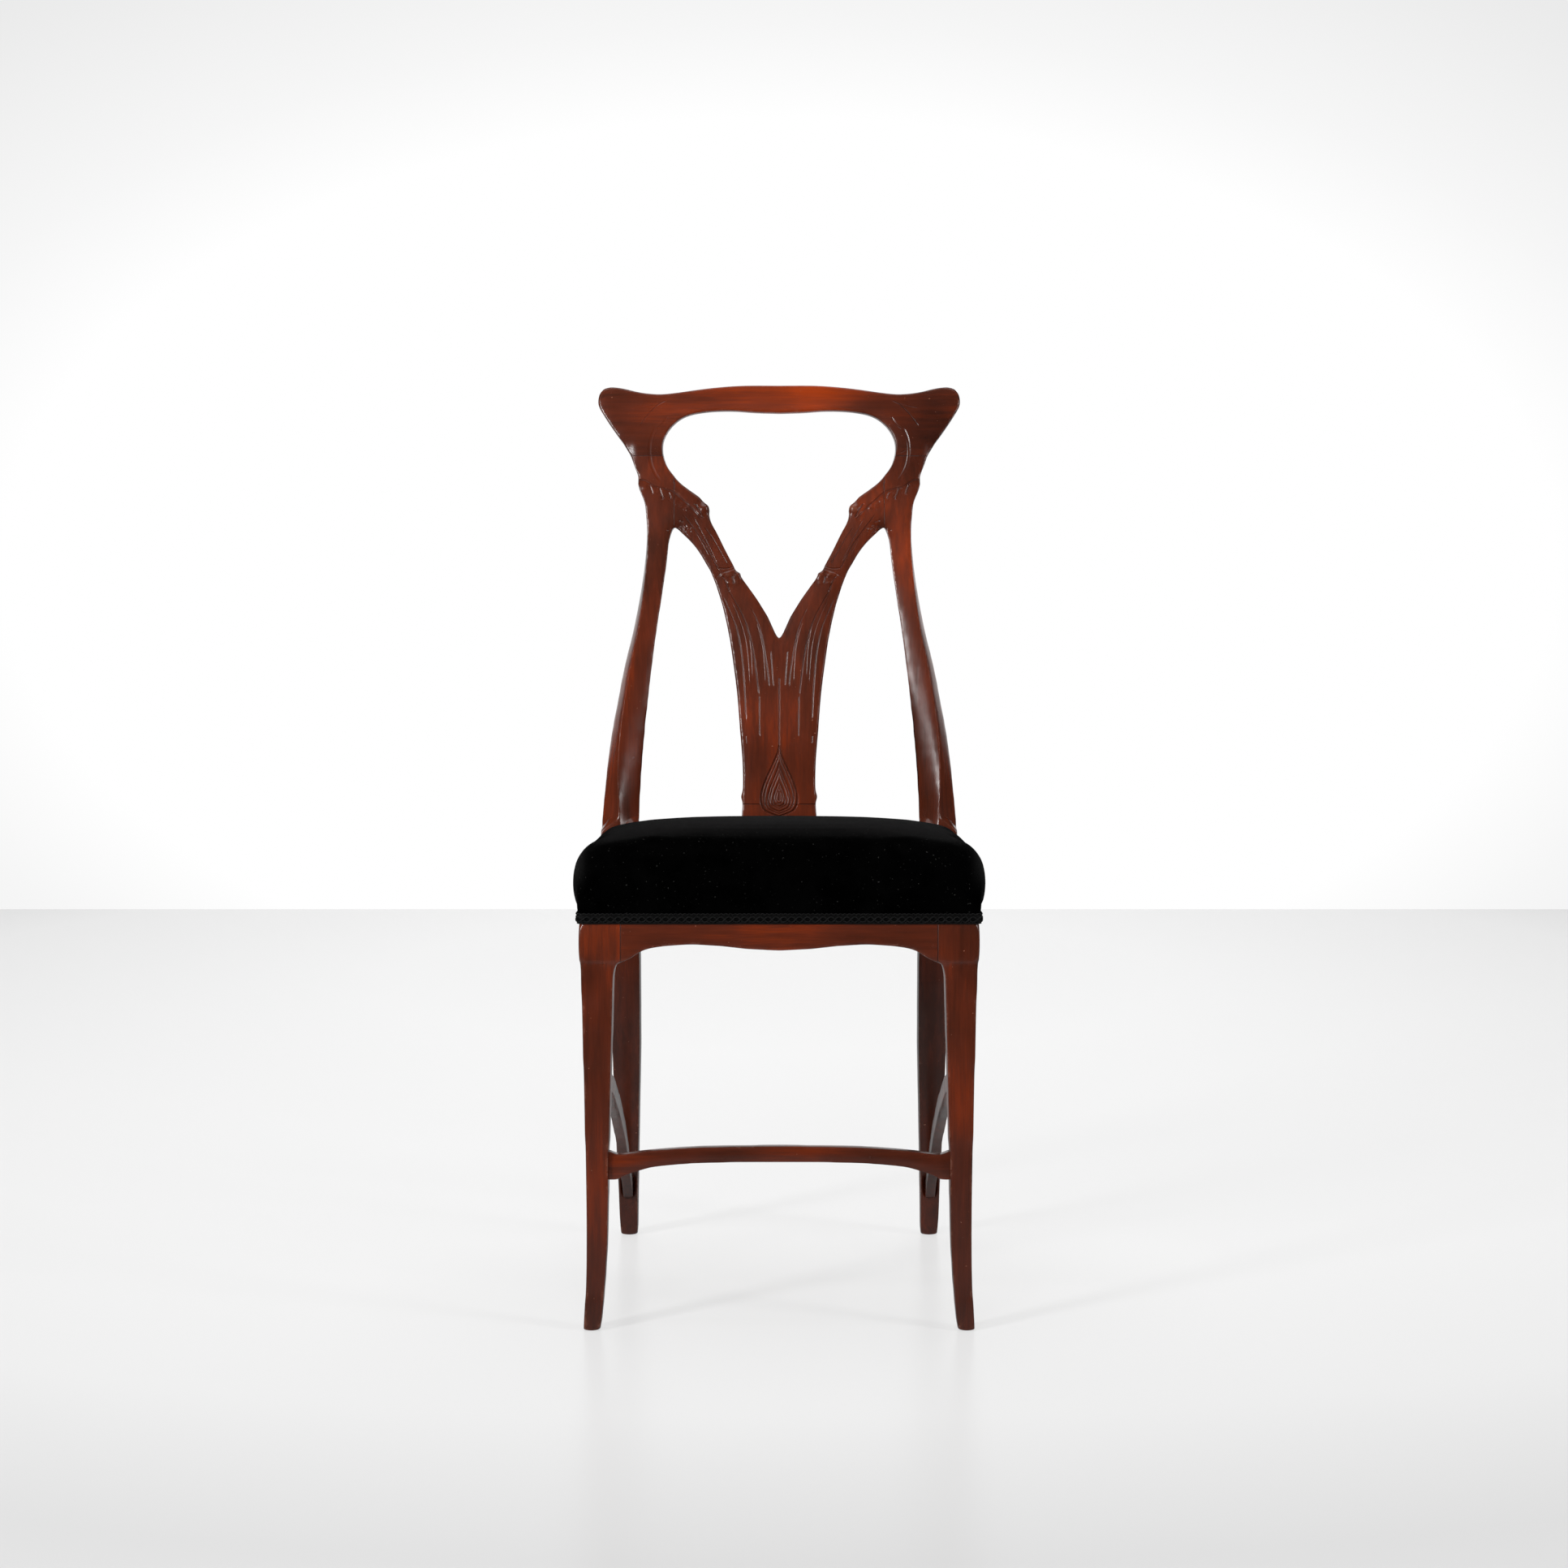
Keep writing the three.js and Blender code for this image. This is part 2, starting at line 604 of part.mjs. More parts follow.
// The shoe stands on the back rail, over the webbing and the hessian
function shoeBlock() {
  const foot = padFoot;
  const profileShares = [[1, 0], [0.55, 0.3], [0.2, 0.7], [0, 1]];
  const rings = profileShares.map(([flare, h]) => {
    const z = foot + h * (splatFoot - foot);
    const half = shoeTopHalf + flare * (shoeFootHalf - shoeTopHalf);
    return squareRing(-half, half, backFace(z), backFace(z) + shoeThickness, z);
  });
  return loft(rings);
}

function frontStretcher(grown = 0) {
  const half = seatHalf - legAxis(frontStretcherTop) - legSide(frontStretcherTop) / 2;
  const top = frontStretcherTop + grown;
  const foot = frontStretcherTop - frontStretcherHeight - grown;
  const endTop = top - frontStretcherEndDrop;
  const endFoot = endTop - frontStretcherEnd - 2 * grown;
  const topShares = [[0, 0], [0.3, 0.06], [0.53, 0.19], [0.775, 0.57], [0.94, 1], [0.97, 0.9]];
  const topEdge = smooth(topShares.map(([x, z]) => [x * half, top - z * frontStretcherDrop]), 12);
  const footShares = [[0.95, 1], [0.915, 0.76], [0.805, 0.42], [0.72, 0.24], [0.48, 0.05], [0.2, 0], [0, 0]];
  const footEdge = smooth(footShares.map(([x, z]) => [x * half, foot - z * (foot - endFoot)]), 14);
  const end = half + stretcherHousing + grown;
  const endEdge = [[half, endTop], [end, endTop], [end, endFoot], [half, endFoot]];
  const outline = bothHalves([...topEdge, ...endEdge, ...footEdge]);
  const y = legAxis(frontStretcherTop);
  const h = frontStretcherThickness / 2 + grown;
  return solid(board(outline, y - h, y + h));
}

function sideStretcher(grown = 0) {
  const front = legAxis(sideStretcherFront) + legSide(sideStretcherFront) / 2;
  const back = backLegFace(sideStretcherBack);
  const rise = sideStretcherFront - sideStretcherBack;
  const archShares = [
    [0, 1], [0.14, 0.96], [0.28, 0.895], [0.4, 0.8], [0.6, 0.615], [0.75, 0.44], [0.84, 0.3],
    [0.92, 0.145], [1, 0],
  ];
  const curve = new THREE.SplineCurve(archShares.map(([y, z]) => (
    new THREE.Vector2(front + y * (back - front), sideStretcherBack + z * rise)
  )));
  const steps = 14;
  const rings = [];
  const startX = seatHalf - legAxis(sideStretcherFront);
  const endX = postOuter - backLegCentre;
  const h = sideStretcherThickness / 2 + grown;
  const ring = (spot, slope, share) => {
    const x = startX + share * (endX - startX);
    const across = new THREE.Vector2(-slope.y, slope.x);
    const upper = spot.clone().addScaledVector(across, grown);
    const lower = spot.clone().addScaledVector(across, -sideStretcherHeight - grown);
    return [point(x - h, lower.x, lower.y), point(x + h, lower.x, lower.y),
      point(x + h, upper.x, upper.y), point(x - h, upper.x, upper.y)];
  };
  for (let i = 0; i <= steps; i++) {
    const share = i / steps;
    const spot = curve.getPoint(share);
    const slope = curve.getTangent(share);
    if (i === 0) {
      const start = spot.clone().addScaledVector(slope, -stretcherHousing - grown);
      rings.push(ring(start, slope, 0));
    }
    rings.push(ring(spot, slope, share));
    if (i === steps) {
      const run = sideStretcherHeight + stretcherHousing + grown;
      rings.push(ring(spot.clone().addScaledVector(slope, run), slope, 1));
    }
  }
  return loft(rings).subtract(backPostRoom(stretcherHousing + grown));
}

// What lies behind the front face of the back leg, less a housing as deep as given
function backPostRoom(housing) {
  const rings = [];
  const steps = 8;
  for (let i = 0; i <= steps; i++) {
    const z = -overrun + (i / steps) * (sideStretcherFront + overrun);
    const face = backLegFace(Math.max(z, 0)) + housing;
    rings.push(squareRing(0, seatWidth, face, face + seatDepth, z));
  }
  return loft(rings);
}

// A corner block seen from above, between a leg and the two rails that meet in it
function cornerBlock(legX, legY, railX, railY, toBack) {
  const side = toBack ? -1 : 1;
  const inX = railX - fit;
  const inY = railY + side * fit;
  const outX = legX - fit;
  const outY = legY + side * fit;
  const outline = [
    [outX, outY], [inX, outY], [inX, legY + side * cornerBlockLeg], [legX - cornerBlockLeg, inY], [outX, inY],
  ];
  const shape = new THREE.Shape(outline.map(([x, y]) => new THREE.Vector2(x, y)));
  const geometry = new THREE.ExtrudeGeometry(shape, { depth: cornerBlockHeight, bevelEnabled: false });
  geometry.translate(0, 0, railTop - cornerBlockDrop - cornerBlockHeight);
  return solid(geometry);
}

// A wood screw with its head at a place, pointing along a direction
function screw(place, direction) {
  const profile = [
    [0, 0], [screwHeadRadius, 0], [screwShankRadius, screwHeadHeight],
    [screwShankRadius, screwLength - screwHeadHeight], [0, screwLength],
  ].map(([r, along]) => new THREE.Vector2(r, along));
  const geometry = new THREE.LatheGeometry(profile, 10);
  geometry.applyQuaternion(new THREE.Quaternion().setFromUnitVectors(new THREE.Vector3(0, 1, 0), direction));
  geometry.translate(place.x, place.y, place.z);
  return solid(geometry);
}

// The hole for a screw: its shank all the way, and a wider bore from the head outwards
function screwHole(place, direction) {
  const shank = screwLength + fit;
  const middle = place.clone().addScaledVector(direction, shank / 2);
  const boreLength = cornerBlockLeg + screwHeadHeight + fit;
  const boreMiddle = place.clone().addScaledVector(direction, screwHeadHeight + fit - boreLength / 2);
  return bar(screwShankRadius + screwClearance, shank, middle, direction)
    .add(bar(screwHeadRadius + screwClearance, boreLength, boreMiddle, direction));
}

// One strap of webbing, over and under those it crosses, laid along X
function strap(reach, crossings, startsOver) {
  const wave = (webbingThickness + fit) / 2;
  const rest = railTop + fit + webbingThickness / 2;
  const flat = webbingWidth / 2 + webbingThickness;
  const line = [[-reach, rest]];
  crossings.forEach((place, i) => {
    const z = rest + ((i % 2 === 0) === startsOver ? wave : -wave);
    line.push([place - flat, z], [place + flat, z]);
  });
  line.push([reach, rest]);
  const lower = line.map(([x, z]) => [x, z - webbingThickness / 2]);
  const upper = line.map(([x, z]) => [x, z + webbingThickness / 2]).reverse();
  return solid(board([...lower, ...upper], -webbingWidth / 2, webbingWidth / 2));
}

// The seat's surface, held `inside` the outer face of the velvet and made `longer` downwards
function cushion(inside, longer) {
  const shoulder = railTop + shoulderHeight;
  const full = coverFoot + drawnHeight;
  // each row: how far past the rails, how high, and the corner's radius
  const rows = [
    [coverDrawn, coverFoot - longer, rebateCorner],
    [coverDrawn, coverFoot + gimpHeight * 0.55, rebateCorner],
    [coverDrawn + gimpLean, coverFoot + gimpHeight, rebateCorner * 1.3],
    [0.78 * sideBulge, coverFoot + drawnHeight * 0.76, cushionCorner * 0.7],
    [sideBulge, full, cushionCorner],
    [sideBulge, shoulder - shoulderFall, cushionCorner],
  ];
  for (const degrees of [15, 30, 45, 56, 66]) {
    const angle = THREE.MathUtils.degToRad(degrees);
    const out = sideBulge - shoulderRound * (1 - Math.cos(angle));
    rows.push([out, shoulder - shoulderFall * (1 - Math.sin(angle)), cushionCorner]);
  }
  const [edge, rim] = rows[rows.length - 1];
  const half = Math.min(seatHalf, frameBack / 2) + edge;
  for (const share of [0.06, 0.14, 0.25, 0.4, 0.58, 0.8]) {
    const corner = cushionCorner + Math.sqrt(share) * (1 - share) * (half - cushionCorner);
    rows.push([edge - share * half, rim + crown * (1 - (1 - share) ** 4.2), corner]);
  }
  const rings = rows.map(([out, z, corner], i) => {
    const top = i > 4 ? 1 : 0;
    return seatOutline(out - inside, Math.max(corner - inside, fit)).map(([x, y]) => {
      const back = THREE.MathUtils.clamp(y / frameBack, 0, 1);
      const drop = backDrop * back * Math.max((z - full) / (shoulder - full), 0);
      return point(x, y, z - drop - inside * top);
    });
  });
  return loft(rings);
}

// The space round the back posts that the seat leaves free
function postRoom() {
  const side = postBlockInner - fit;
  const face = seatDepth - fit;
  const foot = coverFoot - overrun;
  const post = box(side, seatWidth, face, frameBack + seatDepth, foot, railTop + blockHeight);
  return post.add(post.mirror([1, 0, 0]));
}

function shoeRoom() {
  const half = shoeFootHalf + fit;
  const face = seatDepth - fit;
  return box(-half, half, face, frameBack + seatDepth, padFoot - fit, railTop + blockHeight);
}

function seatCover() {
  return cushion(0, 0).subtract(cushion(velvetThickness, overrun)).subtract(postRoom()).subtract(shoeRoom());
}

// The stuffing fills the cover, over the hessian and down over the edge of the rails
function seatPad() {
  const foot = coverFoot + gimpHeight + fit;
  const stuffing = cushion(velvetThickness + fit, 0);
  const below = box(-seatWidth, seatWidth, -seatDepth, frameBack + seatDepth, 0, foot);
  const frame = seatBlock(fit - rebateDepth, rebateCorner, foot - overrun, padFoot);
  return stuffing.subtract(below).subtract(frame).subtract(postRoom()).subtract(shoeRoom());
}

function seatHessian() {
  const sheet = seatBlock(-hessianInset, rebateCorner, hessianFoot, hessianFoot + hessianThickness);
  return sheet.subtract(postRoom());
}

// Braid along the foot of the cover, from one back post round the front to the other
function gimpBraid() {
  const foot = coverDrawn + fit;
  const head = foot + gimpLean;
  const outline = (out, corner) => {
    const front = seatOutline(out, corner).filter(([, y]) => y < seatDepth / 4);
    const start = front.findIndex(([x]) => x < 0);
    const end = seatDepth - fit;
    const side = seatHalf + out;
    return [[-side, end], ...front.slice(start), ...front.slice(0, start), [side, end]];
  };
  const rows = [
    [outline(foot, rebateCorner + fit), coverFoot],
    [outline(foot + gimpThickness, rebateCorner + fit), coverFoot],
    [outline(head + gimpThickness, rebateCorner * 1.3), coverFoot + gimpHeight],
    [outline(head, rebateCorner * 1.3), coverFoot + gimpHeight],
  ];
  const rings = rows[0][0].map((unused, i) => rows.map(([line, z]) => point(line[i][0], line[i][1], z)));
  return loft(rings);
}

function gimpBack() {
  const x = postBlockInner - fit;
  const y = frameBack + coverDrawn + fit;
  const top = coverFoot + gimpHeight;
  const ends = [-x, x].map((side) => [
    point(side, y, coverFoot), point(side, y + gimpThickness, coverFoot),
    point(side, y + gimpLean + gimpThickness, top), point(side, y + gimpLean, top),
  ]);
  return loft(ends);
}

const mahogany = new THREE.MeshStandardMaterial({ color: 0x6b2716, roughness: 0.35, metalness: 0 });
const beech = new THREE.MeshStandardMaterial({ color: 0xb98d5e, roughness: 0.75, metalness: 0 });
const steel = new THREE.MeshStandardMaterial({ color: 0x8b8880, roughness: 0.4, metalness: 1 });
const jute = new THREE.MeshStandardMaterial({ color: 0xa88b5e, roughness: 0.95, metalness: 0 });
const hessian = new THREE.MeshStandardMaterial({ color: 0x9c7f55, roughness: 0.95, metalness: 0 });
const horsehair = new THREE.MeshStandardMaterial({ color: 0x4d4034, roughness: 0.95, metalness: 0 });
const velvet = new THREE.MeshStandardMaterial({ color: 0x0b0a0c, roughness: 0.9, metalness: 0 });
const braid = new THREE.MeshStandardMaterial({ color: 0x171618, roughness: 0.8, metalness: 0 });

const chair = new THREE.Group();

function put(name, body, material) {
  const mesh = new THREE.Mesh(surface(body), material);
  mesh.name = name;
  chair.add(mesh);
  return mesh;
}

// One piece on each side, the left one a mirror image
function putPair(name, body, material) {
  put(`${name}_right`, body, material);
  put(`${name}_left`, body, material).scale.x = -1;
}

// Seat frame, legs and stretchers
const faceRebate = rebate();
const corners = [
  ['front', seatHalf - blockSide, blockSide, seatHalf - railThickness, railThickness, false],
  ['back', postBlockInner, seatDepth, seatHalf - railThickness, backRailFace, true],
];
const screws = corners.map(([name, legX, legY, railX, railY, toBack]) => {
  const side = toBack ? -1 : 1;
  const z = railTop - cornerBlockDrop - cornerBlockHeight / 2;
  const alongY = point(0, -side, 0);
  const alongX = point(1, 0, 0);
  return [
    [`${name}_a`, point(legX - screwSpread, railY + side * screwSeat, z - screwHeadRadius), alongY],
    [`${name}_b`, point(railX - screwSeat, legY + side * screwSpread, z + screwHeadRadius), alongX],
  ];
});
const holes = screws.flat()
  .map(([, spot, direction]) => screwHole(spot, direction))
  .reduce((a, b) => a.add(b));
const bothHoles = holes.add(holes.mirror([1, 0, 0]));

putPair('front_leg', frontLeg()
  .subtract(frontRail(fit)).subtract(sideRail(fit))
  .subtract(frontStretcher(fit)).subtract(sideStretcher(fit)).subtract(faceRebate), mahogany);
putPair('back_post', backPost()
  .subtract(backRail(fit)).subtract(sideRail(fit)).subtract(sideStretcher(fit))
  .subtract(outerDowel(fit)).subtract(innerDowel(fit)).subtract(armDowel(fit)), mahogany);
put('front_rail', frontRail().subtract(faceRebate).subtract(bothHoles), mahogany);
put('back_rail', backRail().subtract(faceRebate).subtract(bothHoles), mahogany);
putPair('side_rail', sideRail().subtract(faceRebate).subtract(holes), mahogany);
put('front_stretcher', frontStretcher(), mahogany);
putPair('side_stretcher', sideStretcher(), mahogany);

corners.forEach(([name, ...around], i) => {
  putPair(`corner_block_${name}`, cornerBlock(...around).subtract(holes), beech);
  for (const [screwName, spot, direction] of screws[i]) {
    putPair(`block_screw_${screwName}`, screw(spot, direction), steel);
  }
});

// Back
const crestHoles = outerDowel(fit).add(innerDowel(fit));
put('crest_rail', crestRail().subtract(crestHoles).subtract(crestHoles.mirror([1, 0, 0])), mahogany);
putPair('crest_dowel_outer', outerDowel(), beech);
putPair('crest_dowel_inner', innerDowel(), beech);
putPair('arm_dowel', armDowel(), beech);
put('lyre_splat', lyreSplat().subtract(armDowel(fit)).subtract(armDowel(fit).mirror([1, 0, 0])), mahogany);
put('splat_shoe', shoeBlock().subtract(splatTenon(fit)), mahogany);

// Seat
const longPlaces = [-1, 0, 1].map((side) => side * (seatHalf - railThickness) * 0.56);
const seatMiddle = frameBack / 2;
const crossPlaces = [-1, 0, 1].map((side) => side * (seatMiddle - railThickness) * 0.62);
['left', 'middle', 'right'].forEach((name, i) => {
  const body = strap(seatMiddle - webbingEndInset, crossPlaces, i % 2 === 0);
  const mesh = put(`webbing_long_${name}`, body, jute);
  mesh.rotation.z = Math.PI / 2;
  mesh.position.set(longPlaces[i], seatMiddle, 0);
});
['front', 'middle', 'back'].forEach((name, i) => {
  const body = strap(seatHalf - webbingEndInset, longPlaces, i % 2 !== 0);
  const mesh = put(`webbing_cross_${name}`, body, jute);
  mesh.position.set(0, seatMiddle + crossPlaces[i], 0);
});
put('seat_hessian', seatHessian(), hessian);
put('seat_pad', seatPad(), horsehair);
put('seat_cover', seatCover(), velvet);
put('gimp_braid', gimpBraid(), braid);
put('gimp_back', gimpBack(), braid);

// The origin is on the floor, under the middle of the chair
const extent = new THREE.Box3().setFromObject(chair);
const middle = extent.getCenter(new THREE.Vector3());
chair.position.set(-middle.x, -middle.y, -extent.min.z);

export default chair;
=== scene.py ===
# A lyre back dining chair of about 1900: French-polished mahogany, a carved splat and a seat in black velvet.
# Everything is in metres, in the frame's own axes; sizes read off the chair are in millimetres, times mm.

import math

import bmesh
import bpy
import numpy as np
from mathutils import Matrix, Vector


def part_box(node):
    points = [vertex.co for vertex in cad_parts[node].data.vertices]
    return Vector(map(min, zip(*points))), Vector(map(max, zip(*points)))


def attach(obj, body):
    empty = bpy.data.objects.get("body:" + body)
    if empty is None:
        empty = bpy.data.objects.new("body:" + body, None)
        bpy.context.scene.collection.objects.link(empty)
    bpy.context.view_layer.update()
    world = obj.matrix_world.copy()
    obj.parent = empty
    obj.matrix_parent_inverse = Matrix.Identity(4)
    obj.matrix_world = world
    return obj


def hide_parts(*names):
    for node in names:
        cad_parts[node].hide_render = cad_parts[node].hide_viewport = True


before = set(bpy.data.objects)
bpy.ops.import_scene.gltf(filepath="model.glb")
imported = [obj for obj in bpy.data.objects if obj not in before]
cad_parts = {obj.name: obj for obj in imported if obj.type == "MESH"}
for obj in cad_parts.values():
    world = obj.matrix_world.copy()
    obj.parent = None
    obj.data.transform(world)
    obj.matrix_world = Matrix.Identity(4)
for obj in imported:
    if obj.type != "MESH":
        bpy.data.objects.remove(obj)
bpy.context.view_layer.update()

scene = bpy.context.scene
mm = 0.001

# ---- The studio: a white wall, a pale floor and soft boxes on both sides; wall and floor carry painted light.
# The camera stands level, in front of the chair and a little above the seat.

scene.view_settings.view_transform = "Standard"


def node(tree, kind, inputs=None, **settings):
    """A shader node; an input is a number, a colour or another node's output."""
    made = tree.nodes.new("ShaderNode" + kind)
    for name, value in settings.items():
        setattr(made, name, value)
    for name, value in (inputs or {}).items():
        if isinstance(value, bpy.types.NodeSocket):
            tree.links.new(value, made.inputs[name])
        else:
            made.inputs[name].default_value = value
    return made


def placed(name, data):
    """An object in the scene that holds this mesh, light, camera or curve."""
    made = bpy.data.objects.new(name, data)
    scene.collection.objects.link(made)
    return made


def finished_mesh(shape, name):
    mesh = bpy.data.meshes.new(name)
    shape.to_mesh(mesh)
    shape.free()
    return mesh


def new_material(name):
    material = bpy.data.materials.new(name)
    material.use_nodes = True
    material.node_tree.nodes.clear()
    return material, material.node_tree


def finish_material(tree, shader):
    node(tree, "OutputMaterial", {"Surface": shader})


def grey(value):
    return (value, value, value)


def ramp(tree, factor, stops):
    """Colours along a factor, each with its place."""
    made = node(tree, "ValToRGB", {"Fac": factor})
    points = made.color_ramp.elements
    while len(points) < len(stops):
        points.new(0.5)
    for point, (place, colour) in zip(points, stops):
        point.position = place
        point.color = (*colour, 1.0)
    return made.outputs["Color"]


def stage_plane(name, place, turn, material):
    sheet = bmesh.new()
    bmesh.ops.create_grid(sheet, x_segments=1, y_segments=1, size=14.0)
    plane = placed(name, finished_mesh(sheet, name))
    plane.location = place
    plane.rotation_euler = turn
    plane.data.materials.append(material)


# painted reflection: the floor and wall glow this faintly for polish far from their centre, standing for the dark
# room beyond the picture
dark_room = 0.03  # what polish mirrors of the room beyond the picture


def white_with_painted_light(name, stops, centre, reach, roughness, own_light, strength, mirrored):
    """Pale paint with a painted pool of light, brightest round one place; the camera sees part of it glow by itself,
    as painted light.
    Polish mirrors it as a painted reflection, from mirrored[0] outwards less and less, from the share mirrored[2] to
    the dark room."""
    material, tree = new_material(name)
    spot = node(tree, "TexCoord").outputs["Object"]
    near = node(tree, "Mapping", {"Vector": spot, "Location": [-c / r for c, r in zip(centre, reach)],
                                  "Scale": [1 / r for r in reach]}).outputs["Vector"]
    away = node(tree, "VectorMath", {0: near}, operation="LENGTH").outputs["Value"]
    colour = ramp(tree, away, stops)
    paint = node(tree, "BsdfPrincipled", {"Base Color": colour, "Roughness": roughness}).outputs["BSDF"]
    painted_glow = node(tree, "Emission", {"Color": colour, "Strength": strength}).outputs["Emission"]
    fading = node(tree, "MapRange", {"Value": away, "From Min": mirrored[0], "From Max": mirrored[1],
                                     "To Min": mirrored[2], "To Max": dark_room}).outputs[0]
    painted_reflection = node(tree, "Emission", {"Color": colour, "Strength": fading}).outputs["Emission"]
    seen = node(tree, "LightPath").outputs
    part = node(tree, "Math", {0: seen["Is Camera Ray"], 1: own_light}, operation="MULTIPLY").outputs[0]
    shown = node(tree, "MixShader", {0: part, 1: paint, 2: painted_glow}).outputs[0]
    finish_material(tree, node(tree, "MixShader", {0: seen["Is Glossy Ray"], 1: shown, 2: painted_reflection}).outputs[0])
    return material


lying = (0.0, 0.0, 0.0)
upright = (math.radians(90.0), 0.0, 0.0)
# painted light: floor and wall are coloured brightest round a centre and darker outwards, and glow for the camera and
# for polish
floor_with_painted_light = white_with_painted_light(
    "studio_floor",
    [(0.0, grey(1.0)), (0.23, grey(0.99)), (0.377, grey(0.94)), (0.529, grey(0.90)), (0.643, grey(0.82)),
     (0.716, grey(0.70)), (1.0, grey(0.80))],
    centre=(0.0, 2.7, 0.0), reach=(3.5, 5.0, 1.0), roughness=0.27, own_light=0.64, strength=1.06,
    mirrored=(0.66, 0.80, 0.45))
wall_with_painted_light = white_with_painted_light(
    "studio_wall", [(0.0, grey(1.0)), (0.575, grey(1.0)), (0.695, grey(0.925)), (0.89, grey(0.84)), (1.0, grey(0.8))],
    centre=(0.0, 0.9, 0.0), reach=(3.5, 2.0, 1.0), roughness=0.9, own_light=1.0, strength=1.0,
    mirrored=(0.85, 1.1, 1.0))
stage_plane("studio_floor", (0.0, 0.0, 0.0), lying, floor_with_painted_light)
stage_plane("studio_wall", (0.0, 3.97, 0.0), upright, wall_with_painted_light)

camera = placed("camera", bpy.data.cameras.new("camera"))
camera.location = (0.0, -2.7945, 0.6728)
camera.rotation_euler = upright
camera.data.lens = 60.0
camera.data.sensor_width = 36.0
camera.data.shift_x = 0.0031
camera.data.shift_y = -0.0859
camera.data.clip_end = 60.0
scene.camera = camera


def soft_box(name, place, target, size, watts, mirrored=True):
    """A soft box turned to its target; polish may mirror it or not."""
    box = placed(name, bpy.data.lights.new(name, "AREA"))
    box.data.shape = "RECTANGLE"
    box.data.size, box.data.size_y = size
    box.data.energy = watts
    box.location = place
    box.rotation_euler = (Vector(target) - Vector(place)).to_track_quat("-Z", "Y").to_euler()
    box.visible_glossy = mirrored


soft_box("box_left", (-2.5, -2.35, 1.5), (0.0, 0.0, 0.5), (0.5, 1.3), 80.0)
soft_box("box_right", (2.7, -1.5, 1.5), (0.0, 0.0, 0.5), (0.6, 1.4), 36.0)
soft_box("box_top", (0.0, 0.2, 3.2), (0.0, 0.0, 0.0), (2.6, 2.2), 40.0)
soft_box("box_front", (-0.5, -3.4, 2.2), (0.0, 0.0, 0.5), (2.2, 1.4), 44.0, mirrored=False)

world = bpy.data.worlds.new("studio")
scene.world = world
world.use_nodes = True
sky = world.node_tree
outdoors = sky.nodes["Background"]
outdoors.inputs["Color"].default_value = (1.0, 1.0, 1.0, 1.0)
# it lights the chair only faintly, but the camera sees it white
seen_sky = node(sky, "LightPath").outputs["Is Camera Ray"]
sky_strength = node(sky, "MapRange", {"Value": seen_sky, "To Min": 0.07, "To Max": 0.93}).outputs[0]
sky.links.new(sky_strength, outdoors.inputs["Strength"])

# ---- The back: two posts, the crest, the splat and the shoe it stands in, all in mahogany.
# They were carved after gluing up, so they are grown into one blank here, carved, and sawn apart at the joints.
# The polish has worn off the arrises, has gathered in the hollows and is warmest in the middle of the crest.

dark_polish = (0.053, 0.0118, 0.0050)
red_polish = (0.114, 0.0192, 0.0065)
warm_polish = (0.312, 0.0350, 0.0025)
bare_arris = (0.260, 0.0900, 0.0480)


def noise(tree, spot, scale, detail, distortion=0.0):
    return node(tree, "TexNoise", {
        "Vector": spot, "Scale": scale, "Detail": detail, "Distortion": distortion}).outputs["Fac"]


def painted(tree, name):
    """What was painted on the vertices under this name."""
    return node(tree, "Attribute", attribute_name=name).outputs["Fac"]


def blend(tree, share, below, above, kind="MIX"):
    """One colour over another by a share from 0 to 1."""
    return node(tree, "Mix", {"Factor": share, "A": below, "B": above},
                data_type="RGBA", blend_type=kind).outputs["Result"]


